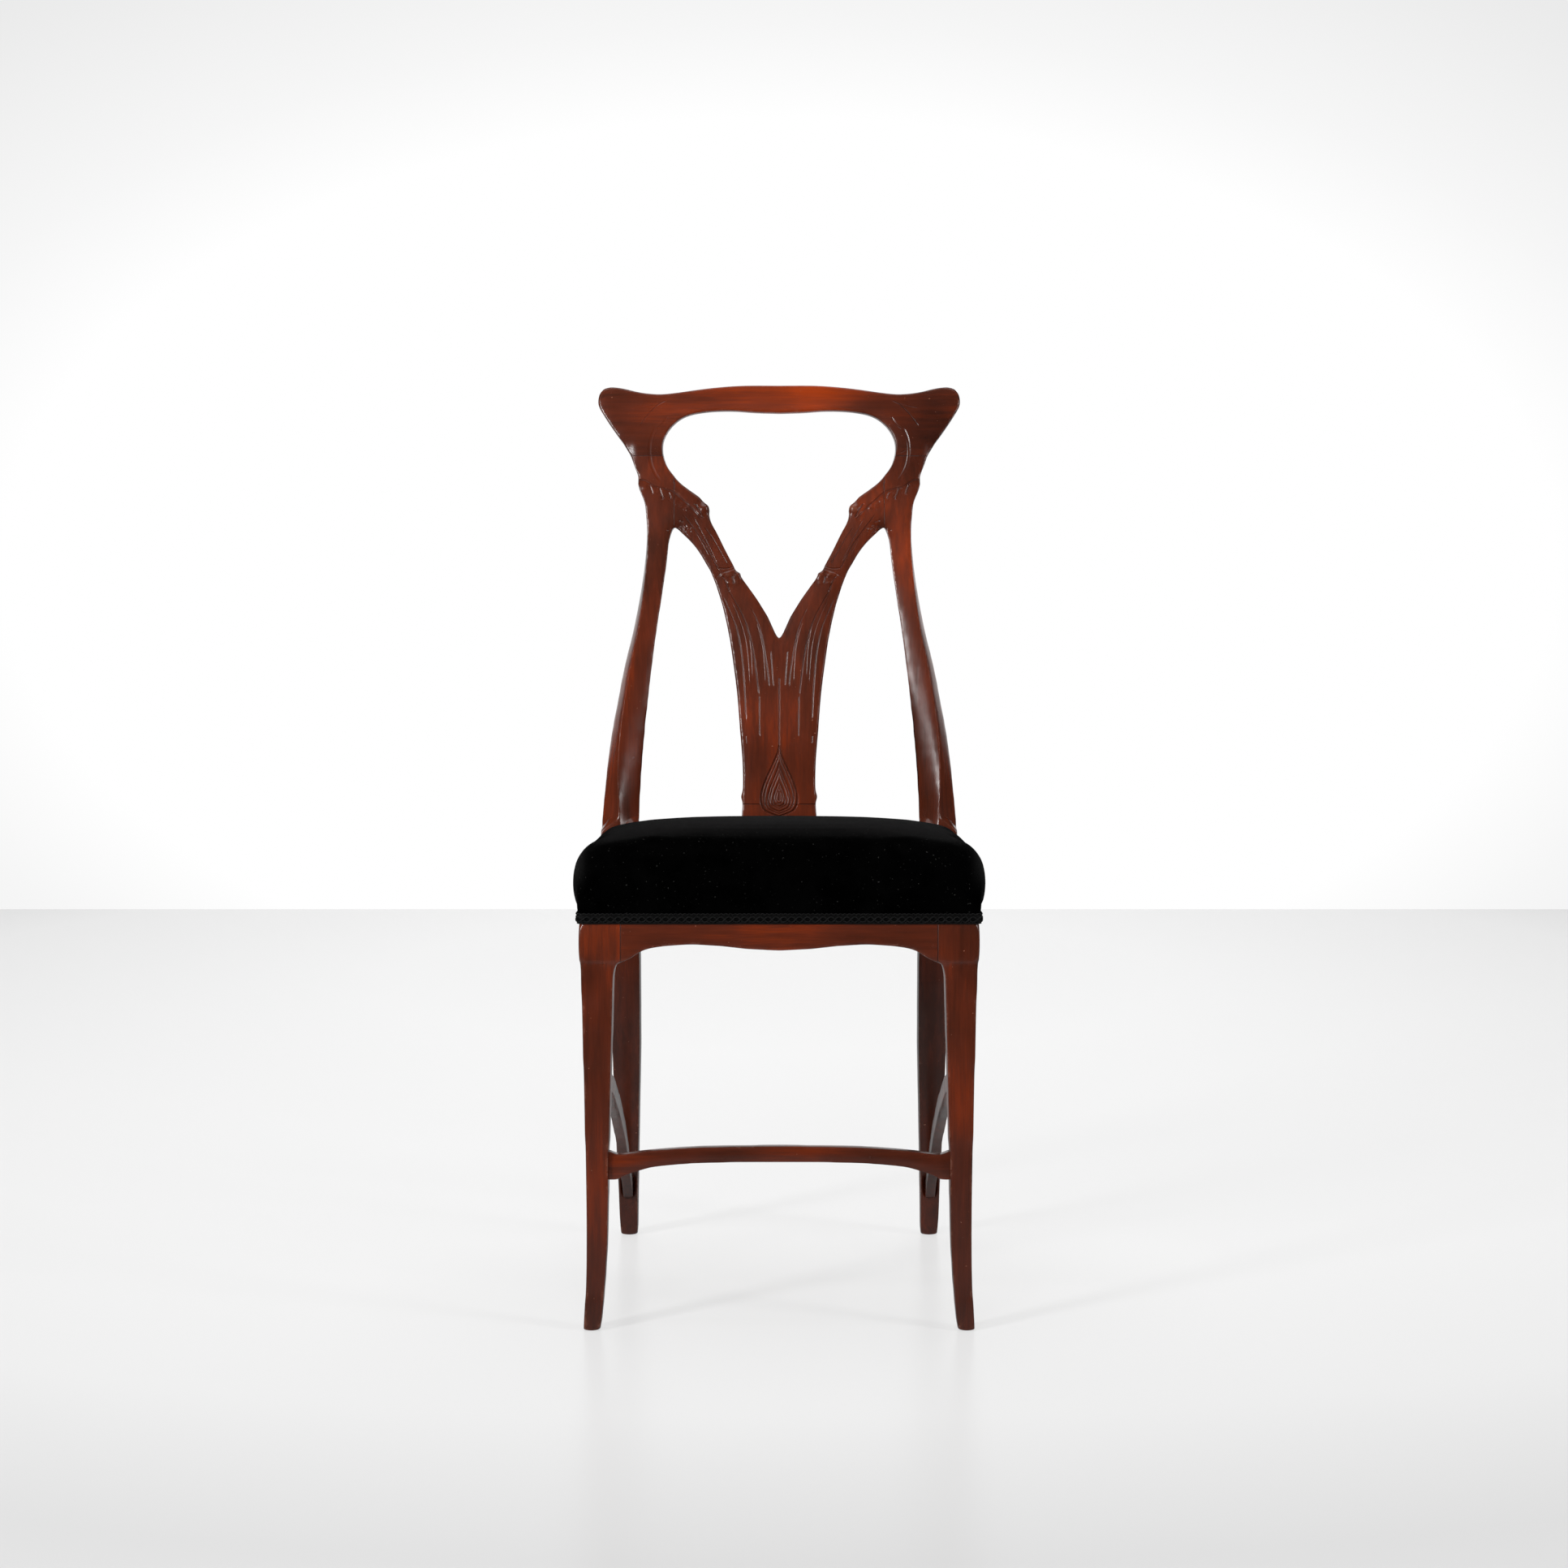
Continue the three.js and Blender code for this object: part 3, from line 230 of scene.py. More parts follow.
def mahogany(name, along):
    """Polished mahogany with its grain along one axis: red, darkened where painted so, dirty in the hollows, bare on
    the arrises.
    """
    material, tree = new_material(name)
    spot = node(tree, "TexCoord").outputs["Object"]
    drawn = [1.0, 1.0, 1.0]
    drawn[along] = 0.05
    grain_at = node(tree, "Mapping", {"Vector": spot, "Scale": drawn}).outputs["Vector"]
    drawn[along] = 0.22
    figure_at = node(tree, "Mapping", {"Vector": spot, "Scale": drawn}).outputs["Vector"]
    fine = noise(tree, grain_at, 900.0, 3.0)
    streak = noise(tree, grain_at, 210.0, 4.0, 0.4)
    figure = noise(tree, figure_at, 34.0, 3.0, 0.3)
    cloud = noise(tree, spot, 9.0, 2.0)
    warm, worn, hollow, darkened = (painted(tree, what) for what in ("warm", "worn", "hollow", "darkened"))

    def weigh(terms):
        total = 0.0
        for source, weight in terms:
            total = node(tree, "Math", {0: source, 1: weight, 2: total}, operation="MULTIPLY_ADD").outputs[0]
        return total

    tone = weigh([(fine, 0.20), (streak, 0.40), (figure, 0.50), (cloud, 0.65), (warm, 0.30)])
    share = node(tree, "MapRange", {"Value": tone, "From Min": 0.68, "From Max": 1.34}).outputs[0]
    colour = ramp(tree, share, [(0.0, dark_polish), (0.42, red_polish), (1.0, warm_polish)])
    darker = blend(tree, 1.0, colour, (0.34, 0.38, 0.42, 1.0), "MULTIPLY")
    darkened_colour = blend(tree, darkened, colour, darker)
    stained = blend(tree, hollow, darkened_colour, (0.012, 0.004, 0.003, 1.0))
    rubbed_noise = noise(tree, spot, 70.0, 5.0)
    rubbed_share = node(tree, "MapRange", {"Value": rubbed_noise, "From Min": 0.44, "From Max": 0.80}).outputs[0]
    rubbed = node(tree, "Math", {0: worn, 1: rubbed_share}, operation="MULTIPLY").outputs[0]
    nick_noise = noise(tree, spot, 310.0, 2.0)
    nick = node(tree, "MapRange", {"Value": nick_noise, "From Min": 0.755, "From Max": 0.79}).outputs[0]
    bare = node(tree, "Math", {0: rubbed, 1: nick}, operation="MAXIMUM").outputs[0]
    rubbed_colour = blend(tree, bare, stained, (*bare_arris, 1.0))

    # the film is duller where it is worn or dusty, and never quite even
    dull = node(tree, "MapRange", {"Value": rubbed_noise, "To Min": 0.17, "To Max": 0.31}).outputs[0]
    dusty = node(tree, "Math", {0: hollow, 1: 0.30, 2: dull}, operation="MULTIPLY_ADD").outputs[0]
    rough = node(tree, "Math", {0: bare, 1: 0.22, 2: dusty}, operation="MULTIPLY_ADD").outputs[0]
    ripple = noise(tree, spot, 38.0, 2.0)
    relief = weigh([(fine, 0.25), (streak, 0.5), (ripple, 1.6)])
    bump = node(tree, "Bump", {"Height": relief, "Strength": 0.35, "Distance": 0.0004}).outputs["Normal"]
    shader = node(tree, "BsdfPrincipled", {
        "Base Color": rubbed_colour, "Roughness": rough, "Normal": bump, "Specular IOR Level": 0.42})
    finish_material(tree, shader.outputs["BSDF"])
    return material


mahogany_upright = mahogany("mahogany_upright", 2)
mahogany_across = mahogany("mahogany_across", 0)
mahogany_back = mahogany("mahogany_back", 1)
same_place = 1e-6  # metres; vertices closer than this are one


def as_it_stands(thing):
    """The mesh of an object with its modifiers applied."""
    return bpy.data.meshes.new_from_object(thing.evaluated_get(bpy.context.evaluated_depsgraph_get()))


def grown(shape, fineness):
    """A shape grown into one evenly meshed block."""
    rough = placed("rough", finished_mesh(shape, "rough"))
    skin = rough.modifiers.new("skin", "REMESH")
    skin.mode = "VOXEL"
    skin.voxel_size = fineness
    even = as_it_stands(rough)
    bpy.data.objects.remove(rough)
    return even


def blank(nodes, fineness):
    """The solids of these nodes as one block."""
    joined = bmesh.new()
    for name in nodes:
        joined.from_mesh(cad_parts[name].data)
    bmesh.ops.remove_doubles(joined, verts=joined.verts, dist=same_place)
    return grown(joined, fineness)


def places(mesh, what="co"):
    """Where the vertices are, or which way they look, one row each."""
    values = np.empty(len(mesh.vertices) * 3, dtype=np.float32)
    mesh.vertices.foreach_get(what, values)
    return values.reshape(-1, 3).astype(float)


def ease(values, low, high):
    """0 below low, 1 above high, and a soft rise between them."""
    t = np.clip((values - low) / (high - low), 0.0, 1.0)
    return t * t * (3.0 - 2.0 * t)


def averaged(mesh, values, times, share=0.5, weight=None):
    """Values at the vertices, drawn towards those of their neighbours, which may count more or less."""
    ends = np.empty(len(mesh.edges) * 2, dtype=np.int32)
    mesh.edges.foreach_get("vertices", ends)
    a, b = ends.reshape(-1, 2).T
    count = len(mesh.vertices)
    weight = np.ones(count) if weight is None else weight

    def gathered(column):
        return np.bincount(a, weights=column[b], minlength=count) + np.bincount(b, weights=column[a], minlength=count)

    total = np.maximum(gathered(weight), 1e-9)[:, None]
    values = values.reshape(count, -1)
    for _ in range(times):
        near = np.stack([gathered(column * weight) for column in values.T], axis=1)
        values = values + share * (near / total - values)
    return values


def move_to(mesh, spots):
    mesh.vertices.foreach_set("co", spots.astype(np.float32).ravel())
    mesh.update()


step_back = -0.52  # a little more than the step of 0.5 inwards, which keeps a block from shrinking


def without_steps(mesh, rounds):
    """Smooths away the steps that growing the block left: everywhere, then along the arrises, which would
    otherwise go round, and last on the faces between them."""
    spots = places(mesh)
    for _ in range(rounds):
        spots = averaged(mesh, averaged(mesh, spots, 1), 1, step_back)
    move_to(mesh, spots)
    out = np.abs(((averaged(mesh, spots, 3) - spots) * places(mesh, "normal")).sum(axis=1))
    arris = ease(averaged(mesh, out, 4), 0.02 * mm, 0.07 * mm)
    spots = averaged(mesh, spots, 40, share=0.5 * arris, weight=arris[:, 0] ** 2 + 0.01)
    spots = averaged(mesh, spots, 24, share=0.5 * (1.0 - arris))
    move_to(mesh, spots)


def paint(mesh, name, values):
    """Paints values from 0 to 1 on the vertices, for the material to read."""
    layer = mesh.attributes.get(name) or mesh.attributes.new(name, "FLOAT", "POINT")
    layer.data.foreach_set("value", np.clip(values, 0.0, 1.0).astype(np.float32).ravel())


# spots where the wood is coloured darker, or with a negative amount lighter: from the chair's middle, above the
# floor, how far round, how much
darker_spots = [
    (178, 930, 42, 1.10), (-145, 898, 16, 0.4), (-205, 360, 26, 0.15), (190, 352, 17, 0.3), (-190, 352, 17, 0.3),
    (140, 880, 34, 0.5), (105, 955, 38, 0.4), (-175, 925, 38, 0.4), (-125, 850, 24, 0.35), (-75, 955, 26, 0.2),
    (12, 535, 36, 0.35), (-28, 560, 24, 0.25), (185, 400, 36, 0.10), (60, 745, 24, 0.3), (114, 812, 15, 0.8),
    (-104, 822, 16, 0.5), (-92, 790, 24, 0.25), (-30, 640, 24, 0.2), (30, 600, 20, -0.2), (-20, 660, 16, -0.3),
]
edge_height = 0.30 * mm  # how far arrises stand out of what lies round them, and hollows back


def wear(mesh):
    """Paints where the surface stands out as an arris or lies back as a hollow, where the crest and the front
    rail are warm, and where the wood is coloured darker: towards the floor, below the seat frame, on the left back
    leg as painted shade, and at the listed spots, a few of which are lighter."""
    spots = places(mesh)
    out = ((averaged(mesh, spots, 6) - spots) * places(mesh, "normal")).sum(axis=1)
    soft = averaged(mesh, out, 2)[:, 0]
    paint(mesh, "worn", (-soft - 0.35 * edge_height) / edge_height)
    paint(mesh, "hollow", 0.8 * (soft - 0.15 * edge_height) / edge_height)
    x, y, z = spots.T
    middle_of_crest = np.exp(-(x / 0.085) ** 2) * (z > 0.94)
    middle_of_rail = np.exp(-((x - 0.02) / 0.12) ** 2) * (z > 0.3) * (z < 0.45)
    paint(mesh, "warm", middle_of_crest + 0.6 * middle_of_rail)
    seat_frame_down = z < 0.42
    # painted shade: the left back leg, behind and below the seat frame, is coloured darker
    left_back_leg_shade = seat_frame_down * (y > 0.1) * (x < 0)
    darkening = 0.35 * ease(-z, -0.34, -0.06) + 0.30 * seat_frame_down + 0.15 * left_back_leg_shade
    for at_x, at_z, around, amount in darker_spots:
        darkening = darkening + amount * np.exp(-(np.hypot(x / mm - at_x, z / mm - at_z) / around) ** 2)
    paint(mesh, "darkened", darkening)


def flowing(points, rounds=3):
    """A smooth line through chosen points."""
    line = np.array(points, dtype=float)
    for _ in range(rounds):
        near = 0.75 * line[:-1] + 0.25 * line[1:]
        far = 0.25 * line[:-1] + 0.75 * line[1:]
        line = np.vstack([line[:1], np.stack([near, far], axis=1).reshape(-1, 2), line[-1:]])
    return line


def beside(spots, points):
    """For each place on the face: how far it lies from the line, on which side, and how far along it is."""
    line = flowing(points)
    steps = np.diff(line, axis=0)
    lengths = np.hypot(*steps.T)
    before = np.concatenate([[0.0], np.cumsum(lengths)])
    distance = np.full(len(spots), 1e9)
    side = np.zeros(len(spots))
    share = np.zeros(len(spots))
    for start, step, length, gone in zip(line, steps, lengths, before):
        rel = spots - start
        t = np.clip(rel @ step / max(length, 1e-9) ** 2, 0.0, 1.0)
        off = rel - t[:, None] * step
        d = np.hypot(*off.T)
        closer = d < distance
        distance[closer] = d[closer]
        side[closer] = (step[0] * rel[:, 1] - step[1] * rel[:, 0])[closer]
        share[closer] = (gone + t[closer] * length) / before[-1]
    return distance, np.sign(side), share


def near_box(spots, points, margin):
    """Which places lie in the box round the points, to leave the rest out of the sums."""
    low = np.min(points, axis=0) - margin
    high = np.max(points, axis=0) + margin
    return np.all((spots > low) & (spots < high), axis=1)


def groove(depth, spots, points, width, deep, fade):
    """Cuts a round-bottomed groove that runs out over this share of its length at both ends."""
    at = near_box(spots, points, width)
    distance, _, share = beside(spots[at], points)
    section = np.clip(1.0 - (2.0 * distance / width) ** 2, 0.0, 1.0) ** 1.5
    ends = ease(share, 0.0, fade) * ease(1.0 - share, 0.0, fade) if fade else 1.0
    depth[at] = np.maximum(depth[at], deep * section * ends)


def lip(depth, spots, points, deep, fall, under):
    """Lowers the ground on one side of a line, so that the other side stands up like the edge of a leaf; the
    lower side is the line's left where under is 1, and its right where it is -1."""
    reach = 4.0 * fall
    at = near_box(spots, points, reach)
    distance, side, share = beside(spots[at], points)
    below = distance * side * under
    step = ease(below, -0.3, 0.9) * np.exp(-np.maximum(below, 0.0) / fall)
    depth[at] += deep * step * ease(share, 0.0, 0.08) * ease(1.0 - share, 0.0, 0.08) * (distance < reach)


def teardrop(half, top, foot):
    """One side of a drop, drawn out to a point above and round below."""
    shares = np.linspace(0.0, 1.0, 16)
    return [(3.26 * half * t ** 1.5 * math.sqrt(1.0 - t), top - (top - foot) * t) for t in shares]


# each groove: its points from the chair's middle and above the floor, its width and its depth
stems = [
    ([(65, 735), (55, 714), (47, 695), (42, 668), (39.5, 640), (38, 612), (37, 588)], 1.5, 0.8),
    ([(62, 747), (49, 726), (37, 703), (29, 672), (25, 642), (22.5, 618)], 1.6, 0.9),
    ([(22.4, 622), (21.8, 574)], 1.3, 0.8),
    ([(37.5, 576), (37.2, 567)], 1.2, 0.6),
    ([(41, 712), (35, 694), (31.5, 668), (30.5, 640)], 1.1, 0.35),
    ([(33, 722), (22.5, 701), (16, 671), (12.5, 646), (11, 628)], 1.4, 0.7),
    ([(56, 731), (45, 708), (37.5, 684), (34.5, 655), (33.5, 630)], 1.1, 0.35),
    ([(27, 706), (20, 684), (17, 660), (16, 634)], 1.1, 0.35),
    ([(9.5, 672), (6.5, 630)], 1.3, 0.6),
]
arms = [
    ([(110, 827), (100, 814), (90, 801), (81, 787), (73, 771), (67, 760)], 1.6, 0.9),
    ([(85, 812), (78, 803), (71, 791.5), (63, 777), (58, 768)], 1.5, 0.8),
    ([(98, 824), (92, 813), (84, 798), (76, 782), (70, 769)], 1.3, 0.6),
    ([(114, 816), (108, 807), (100, 796), (92, 784), (84, 770)], 1.3, 0.7),
    ([(105, 820), (96, 807), (87, 792), (80, 778)], 1.1, 0.4),
    ([(96, 839), (91, 831), (86, 822)], 2.4, 1.2),
    ([(64, 756), (60, 748), (56, 738)], 2.2, 1.0),
    ([(53, 756), (51, 747)], 2.6, 1.0),
    ([(70, 765), (60, 764), (50, 767)], 1.8, 0.7),
]
leaves = [
    ([(139, 929), (144, 922), (147.5, 912), (148.5, 898), (146.5, 884), (141, 872), (134, 863)], 4.6, 0.8),
    ([(148, 861), (144, 849)], 3.0, 1.1),
    ([(137, 857), (132, 843)], 3.2, 1.3),
    ([(126, 852), (123, 844)], 2.6, 0.9),
    ([(129, 958.5), (138, 954.5), (147, 945.5), (155, 935.5), (160, 928)], 1.4, 0.9),
    ([(131, 958), (144, 953), (160, 949.5)], 1.1, 0.3),
    ([(152, 904), (146, 901), (138, 897)], 1.1, 0.35),
    ([(128, 940), (133, 931), (141, 925)], 3.0, 0.6),
]
# each ring of the drop: half its width, its top, its foot, and the groove's width and depth
drops = [
    (19.3, 564.0, 485.5, 2.6, 1.7),
    (15.6, 556.0, 488.5, 1.5, 0.9),
    (12.0, 545.0, 491.0, 1.5, 1.1),
    (9.2, 536.0, 494.5, 1.5, 0.7),
    (6.0, 526.0, 496.5, 1.5, 1.0),
    (3.4, 519.0, 500.0, 1.5, 0.8),
]
drop_core = [(0, 514), (0, 502)]
middle_line = [(0, 640), (0, 600), (0, 556)]
leaf_edge = [(164, 866), (154, 867.5), (147, 863), (142, 859), (135, 858), (128, 855.5), (120, 853.5), (112, 846),
             (103, 838.5), (95, 830), (89, 823), (85, 819)]
collar_edge = [(72, 752), (64, 758.5), (56, 761.5), (48, 764), (42, 766)]
# lumps left standing, each a place, how far round it goes and how high it stands
knuckles = [(85.0, 833.0, 5.2, 3.2), (91.0, 826.0, 4.0, 1.0), (45.8, 758.0, 4.2, 2.8), (57.5, 757.5, 2.8, 1.5),
            (64.0, 758.0, 2.4, 1.0), (56.5, 748.5, 2.6, 1.1), (46.5, 749.0, 2.6, 0.9), (117.0, 842.0, 3.0, 0.9),
            (104.0, 834.0, 2.8, 1.1), (111.0, 837.0, 2.4, 0.9), (153.0, 857.0, 4.0, 0.9), (44.5, 507.0, 4.5, 1.0)]
# marks of the punch, in the hollow of the shoulder and under the leaf's edge: a place, how far round, how deep
punch = np.random.default_rng(7)
shoulder = (113.0, 812.0)
punched = [(shoulder[0] + 6.0 * punch.normal(), shoulder[1] + 5.0 * punch.normal(),
            punch.uniform(0.7, 1.3), punch.uniform(0.3, 0.9)) for _ in range(34)]
punched += [(x + 1.8 * punch.normal(), z - punch.uniform(2.0, 13.0), punch.uniform(0.6, 1.0), punch.uniform(0.2, 0.5))
            for x in range(104, 150, 2) for z in [np.interp(x, [104, 112, 135, 150], [839, 846, 858, 865])]]
# the arris of the turned post: above the floor, and from the chair's middle
turned_arris = [(480, 178), (520, 180), (560, 179), (600, 173), (640, 167), (680, 160), (725, 153), (770, 148)]
left_neck = 0.55  # how deep the lines on the crest's left neck are beside those on its right one


def carving(spots, round_it=0.0):
    """How deep the carver has gone at places on the face of the back, in millimetres: the lines, which may be
    asked for with some ground round them, and the rest."""
    on_left_neck = (spots[:, 0] < 0.0) & (spots[:, 1] > 848.0)
    spots = np.stack([np.abs(spots[:, 0]), spots[:, 1]], axis=1)
    lines = np.zeros(len(spots))
    for points, width, deep in stems + arms + leaves:
        groove(lines, spots, points, width + round_it, deep, fade=0.10)
    groove(lines, spots, middle_line, 1.8 + round_it, 1.0, fade=0.0)
    for half, top, foot, width, deep in drops:
        groove(lines, spots, teardrop(half, top, foot), width + round_it, deep, fade=0.0)
    groove(lines, spots, drop_core, 3.4 + round_it, 1.8, fade=0.14)
    x, z = spots.T
    for at_x, at_z, reach, deep in punched:
        near = (np.abs(x - at_x) < 2.5 * reach) & (np.abs(z - at_z) < 2.5 * reach)
        away = np.hypot(x[near] - at_x, z[near] - at_z)
        lines[near] = np.maximum(lines[near], deep * np.exp(-(away / reach) ** 2))
    lines[on_left_neck] *= left_neck
    depth = np.zeros(len(spots))
    lip(depth, spots, leaf_edge, deep=1.3, fall=6.0, under=1.0)
    lip(depth, spots, collar_edge, deep=0.8, fall=3.5, under=-1.0)
    scoop = ease(x, 158.0, 171.0) * ease(-z, -918.0, -902.0) * ease(z, 866.0, 900.0)
    depth += scoop * (0.5 + 0.12 * np.maximum(x - 162.0, 0.0))
    arris = np.interp(z, *zip(*turned_arris))
    on_post = ease(z, 470.0, 530.0) * ease(-z, -655.0, -580.0) * (x > 115.0)
    depth += 2.7 * on_post * np.clip((arris - x) / 28.0, 0.0, 1.0) ** 2
    depth += np.exp(-(np.hypot(x - 113.0, z - 811.0) / 7.0) ** 2)
    return lines, depth


def face_share(mesh):
    """1 where the surface looks to the front, 0 where it looks elsewhere."""
    return ease(-places(mesh, "normal")[:, 1], 0.25, 0.7)


# the mesh is made finer twice: in the hollows and some way round the lines, then close round the lines
finer_rounds = ((1.8, 1.0), (0.5, 0.0))


def carve(mesh):
    """Meshes the carved places more finely, then cuts the carving into the face and raises the lumps."""
    for round_it, hollows_too in finer_rounds:
        lines, rest = carving(places(mesh)[:, [0, 2]] / mm, round_it)
        deep = (lines + hollows_too * rest > 0.02) & (face_share(mesh) > 0.1)
        finer = bmesh.new()
        finer.from_mesh(mesh)
        cut = [edge for edge in finer.edges if deep[edge.verts[0].index] or deep[edge.verts[1].index]]
        bmesh.ops.subdivide_edges(finer, edges=cut, cuts=1, use_grid_fill=True)
        finer.to_mesh(mesh)
        finer.free()
        mesh.update()
    spots = places(mesh)
    depth = sum(carving(spots[:, [0, 2]] / mm)) * face_share(mesh)
    outward = places(mesh, "normal")
    for x, z, radius, height in knuckles:
        away = np.hypot(np.abs(spots[:, 0]) / mm - x, spots[:, 2] / mm - z)
        spots += outward * (mm * height * np.exp(-(away / radius) ** 2))[:, None]
    spots[:, 1] += depth * mm
    move_to(mesh, spots)


seam_dirt = 0.6  # how dark the joints have gone, beside a hollow at 1
on_the_plane = 1e-7  # metres; vertices this close to a cut lie on it
sawn_end_from = 4e-6  # triangles from this size on, in square metres, are sawn ends, which stay flat


def sawn(source, cuts):
    """Saws a block along planes, each a place, a direction, and which faces it goes through."""
    whole = bmesh.new()
    whole.from_mesh(source)
    for place, direction, through in cuts:
        faces = [face for face in whole.faces if through(face.calc_center_median())]
        edges = {edge for face in faces for edge in face.edges}
        verts = {vert for face in faces for vert in face.verts}
        bmesh.ops.bisect_plane(
            whole, geom=[*verts, *edges, *faces], dist=on_the_plane, plane_co=place, plane_no=direction)
    return whole


def wooden_piece(name, whole, belongs, material, *nodes):
    """The part of a sawn block that is one piece, its sawn ends closed and their edges dirty."""
    part = whole.copy()
    others = [face for face in part.faces if not belongs(face.calc_center_median())]
    bmesh.ops.delete(part, geom=others, context="FACES")
    rim = [edge for edge in part.edges if edge.is_boundary]
    dirt = part.verts.layers.float["hollow"]
    for edge in rim:
        for vert in edge.verts:
            vert[dirt] = max(vert[dirt], seam_dirt)
    bmesh.ops.holes_fill(part, edges=rim, sides=0)
    ends = [face for face in part.faces if len(face.verts) > 4]
    bmesh.ops.triangulate(part, faces=ends)
    wooden_object(name, finished_mesh(part, name), material, *nodes)


def wooden_object(name, mesh, material, *nodes):
    piece = placed(name, mesh)
    smooth = [len(face.vertices) == 4 or face.area < sawn_end_from for face in mesh.polygons]
    mesh.polygons.foreach_set("use_smooth", smooth)
    mesh.materials.clear()
    mesh.materials.append(material)
    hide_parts(*nodes)
    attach(piece, "root")


back_fineness = 1.5 * mm
crest_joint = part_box("crest_rail")[0][2]
arm_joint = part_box("lyre_splat")[1][0]
shoe_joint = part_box("splat_shoe")[1][2]
saw_cut = 0.2 * mm

back = blank(["back_post_left", "back_post_right", "crest_rail", "lyre_splat", "splat_shoe"], back_fineness)
without_steps(back, 16)
carve(back)
wear(back)


def under_crest(place):
    return place.z < crest_joint + mm


def near_splat(place):
    return abs(place.x) < arm_joint and place.z < crest_joint


back_cuts = [
    ((0, 0, crest_joint), (0, 0, 1), lambda place: True),
    ((0, 0, crest_joint - saw_cut), (0, 0, 1), under_crest),
    ((arm_joint, 0, 0), (1, 0, 0), under_crest),
    ((arm_joint + saw_cut, 0, 0), (1, 0, 0), under_crest),
    ((-arm_joint, 0, 0), (1, 0, 0), under_crest),
    ((-arm_joint - saw_cut, 0, 0), (1, 0, 0), under_crest),
    ((0, 0, shoe_joint), (0, 0, 1), near_splat),
    ((0, 0, shoe_joint + saw_cut), (0, 0, 1), near_splat),
]
sawn_back = sawn(back, back_cuts)
wooden_piece("carved_crest", sawn_back, lambda p: p.z > crest_joint, mahogany_across, "crest_rail")
for side, name in ((1, "right"), (-1, "left")):
    wooden_piece(
        f"carved_post_{name}", sawn_back,
        lambda p: side * p.x > arm_joint + saw_cut and p.z < crest_joint - saw_cut,
        mahogany_upright, f"back_post_{name}")
wooden_piece(
    "carved_splat", sawn_back,
    lambda p: abs(p.x) < arm_joint and shoe_joint + saw_cut < p.z < crest_joint - saw_cut,
    mahogany_upright, "lyre_splat")
wooden_piece(
    "carved_shoe", sawn_back, lambda p: abs(p.x) < arm_joint and p.z < shoe_joint, mahogany_upright, "splat_shoe")
sawn_back.free()

# ---- The seat frame and the front legs: rails tenoned into square blocks at the top of each leg.
# The outside was planed flush after gluing, so the joints show only as fine lines.

frame_fineness = 1.7 * mm
leg_block = 42.0 * mm
rail_foot = 0.34  # no rail reaches lower
leg_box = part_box("front_leg_right")
rail_joint = leg_box[1][0] - leg_block
side_joint = leg_box[0][1] + leg_block

front = blank(
    ["front_leg_left", "front_leg_right", "front_rail", "side_rail_left", "side_rail_right"], frame_fineness)
without_steps(front, 6)
wear(front)


def high(place):
    return place.z > rail_foot


front_cuts = [
    ((0, side_joint, 0), (0, 1, 0), high),
    ((0, side_joint + saw_cut, 0), (0, 1, 0), high),
    ((rail_joint, 0, 0), (1, 0, 0), high),
    ((rail_joint - saw_cut, 0, 0), (1, 0, 0), high),
    ((-rail_joint, 0, 0), (1, 0, 0), high),
    ((-rail_joint + saw_cut, 0, 0), (1, 0, 0), high),
]
sawn_front = sawn(front, front_cuts)
wooden_piece(
    "front_rail_polished", sawn_front,
    lambda p: abs(p.x) < rail_joint - saw_cut and p.y < side_joint and high(p), mahogany_across, "front_rail")
for side, name in ((1, "right"), (-1, "left")):
    wooden_piece(
        f"front_leg_polished_{name}", sawn_front,
        lambda p: side * p.x > 0 and not (high(p) and (side * p.x < rail_joint or p.y > side_joint)),
        mahogany_upright, f"front_leg_{name}")
    wooden_piece(
        f"side_rail_polished_{name}", sawn_front,
        lambda p: side * p.x > 0 and p.y > side_joint + saw_cut and high(p), mahogany_back, f"side_rail_{name}")
sawn_front.free()

# ---- The back rail and the three arched stretchers, housed in the legs.
# Each is a single piece with softly rounded edges, so it is meshed and worn by itself.

stretcher_fineness = 1.2 * mm


def rounded(name, source, fineness, material):
    mesh = blank([source], fineness)
    without_steps(mesh, 8)
    wear(mesh)
    wooden_object(name, mesh, material, source)


rounded("back_rail_polished", "back_rail", frame_fineness, mahogany_across)
rounded("front_stretcher_polished", "front_stretcher", stretcher_fineness, mahogany_across)
for name in ("left", "right"):
    rounded(f"side_stretcher_polished_{name}", f"side_stretcher_{name}", stretcher_fineness, mahogany_back)

# ---- What holds the frame together: beech blocks glued in the corners, their screws, and beech dowels.
# These keep the shapes of their solids and get only their materials.


def beech():
    material, tree = new_material("beech")
    spot = node(tree, "TexCoord").outputs["Object"]
    grain_at = node(tree, "Mapping", {"Vector": spot, "Scale": (1.0, 0.12, 1.0)}).outputs["Vector"]
    fleck = noise(tree, grain_at, 420.0, 3.0)
    colour = ramp(tree, fleck, [(0.35, (0.42, 0.25, 0.13)), (0.62, (0.62, 0.41, 0.23))])
    bump = node(tree, "Bump", {"Height": fleck, "Strength": 0.3, "Distance": 0.0003}).outputs["Normal"]
    finish_material(tree, node(tree, "BsdfPrincipled", {
        "Base Color": colour, "Roughness": 0.72, "Normal": bump}).outputs["BSDF"])
    return material


def screw_steel():
    material, tree = new_material("screw_steel")
    spot = node(tree, "TexCoord").outputs["Object"]
    spots_of_rust = noise(tree, spot, 500.0, 4.0)
    colour = ramp(tree, spots_of_rust, [(0.4, (0.36, 0.35, 0.33)), (0.75, (0.20, 0.12, 0.08))])
    rough = node(tree, "MapRange", {"Value": spots_of_rust, "To Min": 0.3, "To Max": 0.75}).outputs[0]
    finish_material(tree, node(tree, "BsdfPrincipled", {
        "Base Color": colour, "Metallic": 1.0, "Roughness": rough}).outputs["BSDF"])
    return material


